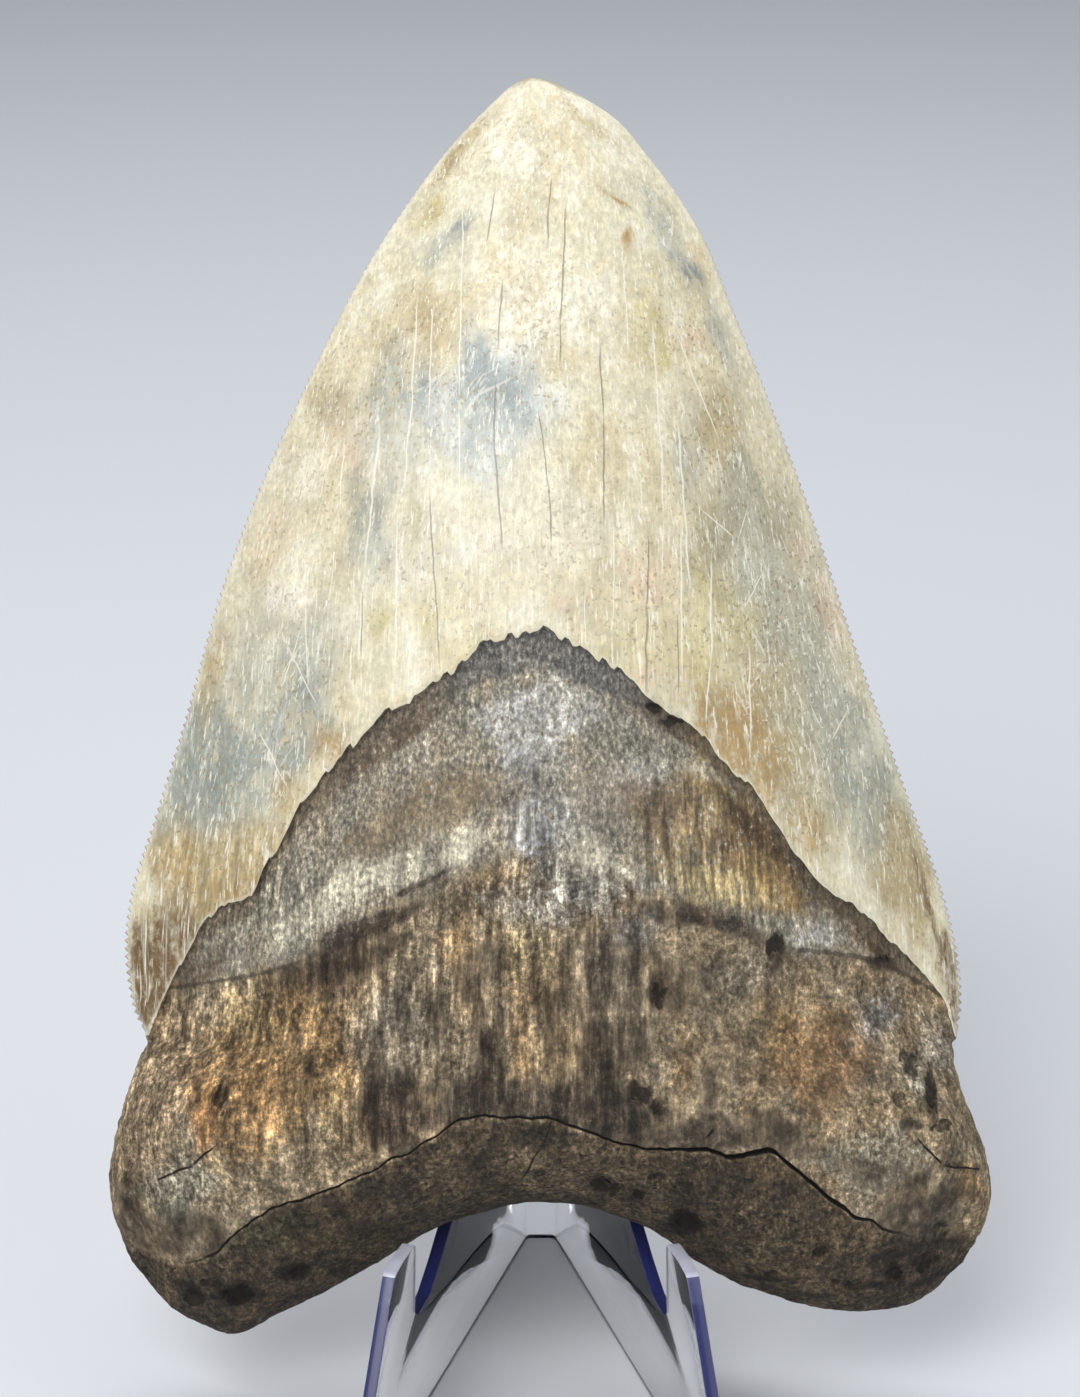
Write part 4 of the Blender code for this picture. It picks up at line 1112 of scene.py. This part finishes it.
def softened(outline):
    """The outline with its corners rounded, as plain points."""
    made = []
    ends = [Vector((0.0, 0.0)), *(Vector(point[:2]) for point in outline),
            Vector((0.0, SPINE_HEIGHT))]
    for before, here, after, (_, _, radius) in zip(ends, ends[1:], ends[2:], outline):
        inward, outward = (before - here).normalized(), (after - here).normalized()
        half_turn = inward.angle(outward) / 2
        reach = min(radius / math.tan(half_turn), 0.45 * (before - here).length,
                    0.45 * (after - here).length)
        for share in (0, 0.25, 0.5, 0.75, 1):
            made.append(here + inward * reach * (1 - share) ** 2 + outward * reach * share ** 2)
    return made


wing_outline = softened(WING)
turn = math.pi / 2 - SPLAY
bend = [(0.0, SPINE_PLACE[1], 0.0)]
for k in range(BEND_STEPS + 1):
    a = turn * k / BEND_STEPS
    bend.append((SPINE_FLAT / 2 + BEND_RADIUS * math.sin(a),
                 SPINE_PLACE[1] - BEND_RADIUS * (1 - math.cos(a)), a))
end_x, end_y, end_a = bend[-1]
bend.append((end_x + FLAT_STRIP * math.sin(SPLAY), end_y - FLAT_STRIP * math.cos(SPLAY), end_a))
sheet = bmesh.new()


def sheet_pair(x, y, a, z, side):
    """A point on the inner and on the outer face of the sheet."""
    half = SHEET / 2
    return [sheet.verts.new(((SPINE_PLACE[0] + side * (x + face * half * math.sin(a))) * MM,
                             (y + face * half * math.cos(a)) * MM, z * MM)) for face in (-1, 1)]


middle = [sheet_pair(*bend[0], z, 1) for z in (0.0, SPINE_HEIGHT)]
for side in (1, -1):
    before = middle
    for x, y, a in bend[1:]:
        now = [sheet_pair(x, y, a, z, side) for z in (0.0, SPINE_HEIGHT)]
        for one, two, three, four in (
                (before[0][1], before[1][1], now[1][1], now[0][1]),
                (before[0][0], now[0][0], now[1][0], before[1][0]),
                (before[0][1], now[0][1], now[0][0], before[0][0]),
                (before[1][1], before[1][0], now[1][0], now[1][1])):
            sheet.faces.new((one, two, three, four))
        before = now
    ring = [before[0]]
    for point in wing_outline:
        ring.append(sheet_pair(end_x + math.sin(SPLAY) * point.x, end_y - math.cos(SPLAY) * point.x,
                               end_a, point.y, side))
    ring.append(before[1])
    sheet.faces.new([pair[1] for pair in ring])
    sheet.faces.new([pair[0] for pair in ring])
    for one, two in zip(ring, ring[1:]):
        sheet.faces.new((one[0], one[1], two[1], two[0]))
bmesh.ops.recalc_face_normals(sheet, faces=sheet.faces)
easel_mesh = bpy.data.meshes.new("clear_easel")
sheet.to_mesh(easel_mesh)
sheet.free()
easel = put_in_scene("clear_easel", easel_mesh)
broken_edge = easel.modifiers.new("Broken edges", "BEVEL")
broken_edge.width = EDGE_BREAK * MM
broken_edge.segments = 2
broken_edge.limit_method = "ANGLE"
broken_edge.angle_limit = math.radians(50)
broken_edge.use_clamp_overlap = True
easel_mesh = keep_worked(easel, broken_edge)
easel_mesh.shade_smooth()
easel_mesh.set_sharp_from_angle(angle=math.radians(28))

# The sawn edges are frosted and carry painted light: a painted highlight in white where they face up to the
# light, and navy lower down in front, partly the sheet's blue edge tint and partly painted shade
easel_mesh.update()
normal = np.empty(len(easel_mesh.polygons) * 3)
middle_of = np.empty(len(easel_mesh.polygons) * 3)
easel_mesh.polygons.foreach_get("normal", normal)
easel_mesh.polygons.foreach_get("center", middle_of)
normal, middle_of = normal.reshape(-1, 3), middle_of.reshape(-1, 3) / MM
flat_on = np.abs(np.abs(normal[:, 0]) * math.cos(SPLAY) + np.abs(normal[:, 1]) * math.sin(SPLAY))
in_bend = middle_of[:, 1] > end_y - 0.3
face_on = (np.abs(normal[:, 2]) < 0.3) & (in_bend | (flat_on > 0.8))
lit_edge = (middle_of[:, 2] > LIT_ABOVE) & (middle_of[:, 1] < LIT_BEFORE)
lit_edge |= (normal[:, 1] > 0.5) & (middle_of[:, 1] < 0)
for name, values in (("sawn", ~face_on), ("lit", lit_edge)):
    add_layer(easel_mesh, name, "FLOAT", "FACE", "value", values)

clear, glass = new_material("clear_acrylic")
set_sockets(glass, {"Base Color": (1, 1, 1, 1), "Transmission Weight": 1.0, "IOR": 1.49})
spot = Wire(clear.node_tree).make("ShaderNodeTexCoord", None, None, 3)
handled = spot.make("ShaderNodeTexNoise", None, {"Vector": spot, "Scale": 260.0, "Detail": 4.0})
(0.01 + 0.03 * handled.rise(0.5, 0.75)).into(glass, "Roughness")
frosted = clear.node_tree.nodes.new("ShaderNodeBsdfPrincipled")
set_sockets(frosted, {"Roughness": 0.35})
lit_here = spot.make("ShaderNodeAttribute", {"attribute_name": "lit"}, None, 2)
navy_shade = spot.make("ShaderNodeRGB")
navy_shade.socket.default_value = EDGE_NAVY_SHADE
# Painted highlight on the edges that face the light, painted navy shade on the rest
navy_shade.mix(lit_here, EDGE_WHITE_HIGHLIGHT).into(frosted, "Base Color")
sawn = spot.make("ShaderNodeAttribute", {"attribute_name": "sawn"}, None, 2)
surface = clear.node_tree.nodes.new("ShaderNodeMixShader")
(sawn * (0.7 + 0.2 * handled)).into(surface, "Fac")
clear.node_tree.links.new(glass.outputs[0], surface.inputs[1])
clear.node_tree.links.new(frosted.outputs[0], surface.inputs[2])
body_tint = clear.node_tree.nodes.new("ShaderNodeVolumeAbsorption")
set_sockets(body_tint, {"Color": CLEAR_BLUE, "Density": 14.0})
output = clear.node_tree.nodes["Material Output"]
clear.node_tree.links.new(surface.outputs[0], output.inputs["Surface"])
clear.node_tree.links.new(body_tint.outputs[0], output.inputs["Volume"])
easel_mesh.materials.clear()
easel_mesh.materials.append(clear)
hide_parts("stand")
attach(easel, "root")

# Floor, light and camera
floor = bpy.data.meshes.new("floor")
floor.from_pydata([(-3, -3, 0), (3, -3, 0), (3, 3, 0), (-3, 3, 0)], [], [(0, 1, 2, 3)])
floor_finish, floor_shader = new_material("pale_floor")
set_sockets(floor_shader, {"Base Color": (0.62, 0.64, 0.68, 1), "Roughness": 0.8})
floor.materials.append(floor_finish)
put_in_scene("floor", floor)


def area_light(name, place, aim, size, power, colour):
    """A soft rectangular lamp that points at a place."""
    lamp = bpy.data.lights.new(name, "AREA")
    lamp.shape = "RECTANGLE"
    lamp.size, lamp.size_y = size
    lamp.energy = power
    lamp.color = colour
    made = put_in_scene(name, lamp)
    made.location = place
    made.rotation_euler = (Vector(aim) - Vector(place)).to_track_quat("-Z", "Y").to_euler()


area_light("key", (-0.34, -0.66, 0.78), (0, 0, 0.08), (0.7, 0.7), 9.5, (1.0, 0.99, 0.97))
area_light("fill", (0.7, -0.5, 0.35), (0, 0, 0.08), (0.6, 0.6), 2.0, (0.94, 0.97, 1.0))
area_light("top", (0.0, 0.35, 0.8), (0, 0, 0.1), (0.7, 0.4), 4.0, (1.0, 1.0, 1.0))
world = bpy.data.worlds.new("room")
world.use_nodes = True
world.node_tree.nodes["Background"].inputs[0].default_value = (0.5, 0.53, 0.58, 1)
world.node_tree.nodes["Background"].inputs[1].default_value = 0.45
bpy.context.scene.world = world
bpy.context.scene.view_settings.view_transform = "Standard"

# The camera looks square on to the leaning tooth
PIXELS_PER_MM = 8.3
FRAME_PIXELS = (1080, 1397)
SENSOR_SIZE = 36.0
camera_data = bpy.data.cameras.new("camera")
camera_data.sensor_width = SENSOR_SIZE
camera_data.lens = PIXELS_PER_MM * VIEW_DISTANCE / FRAME_PIXELS[1] * SENSOR_SIZE
camera = put_in_scene("camera", camera_data)
up_tooth = Vector((0, math.sin(LEAN), math.cos(LEAN)))
out_of_tooth = Vector((0, -math.cos(LEAN), math.sin(LEAN)))
aim = ARCH_PLACE + Vector((VIEW_CENTRE[0], 0, 0)) + up_tooth * VIEW_CENTRE[1]
camera.location = (aim + out_of_tooth * VIEW_DISTANCE) * MM
camera.rotation_euler = (math.pi / 2 - LEAN, 0, 0)
bpy.context.scene.camera = camera
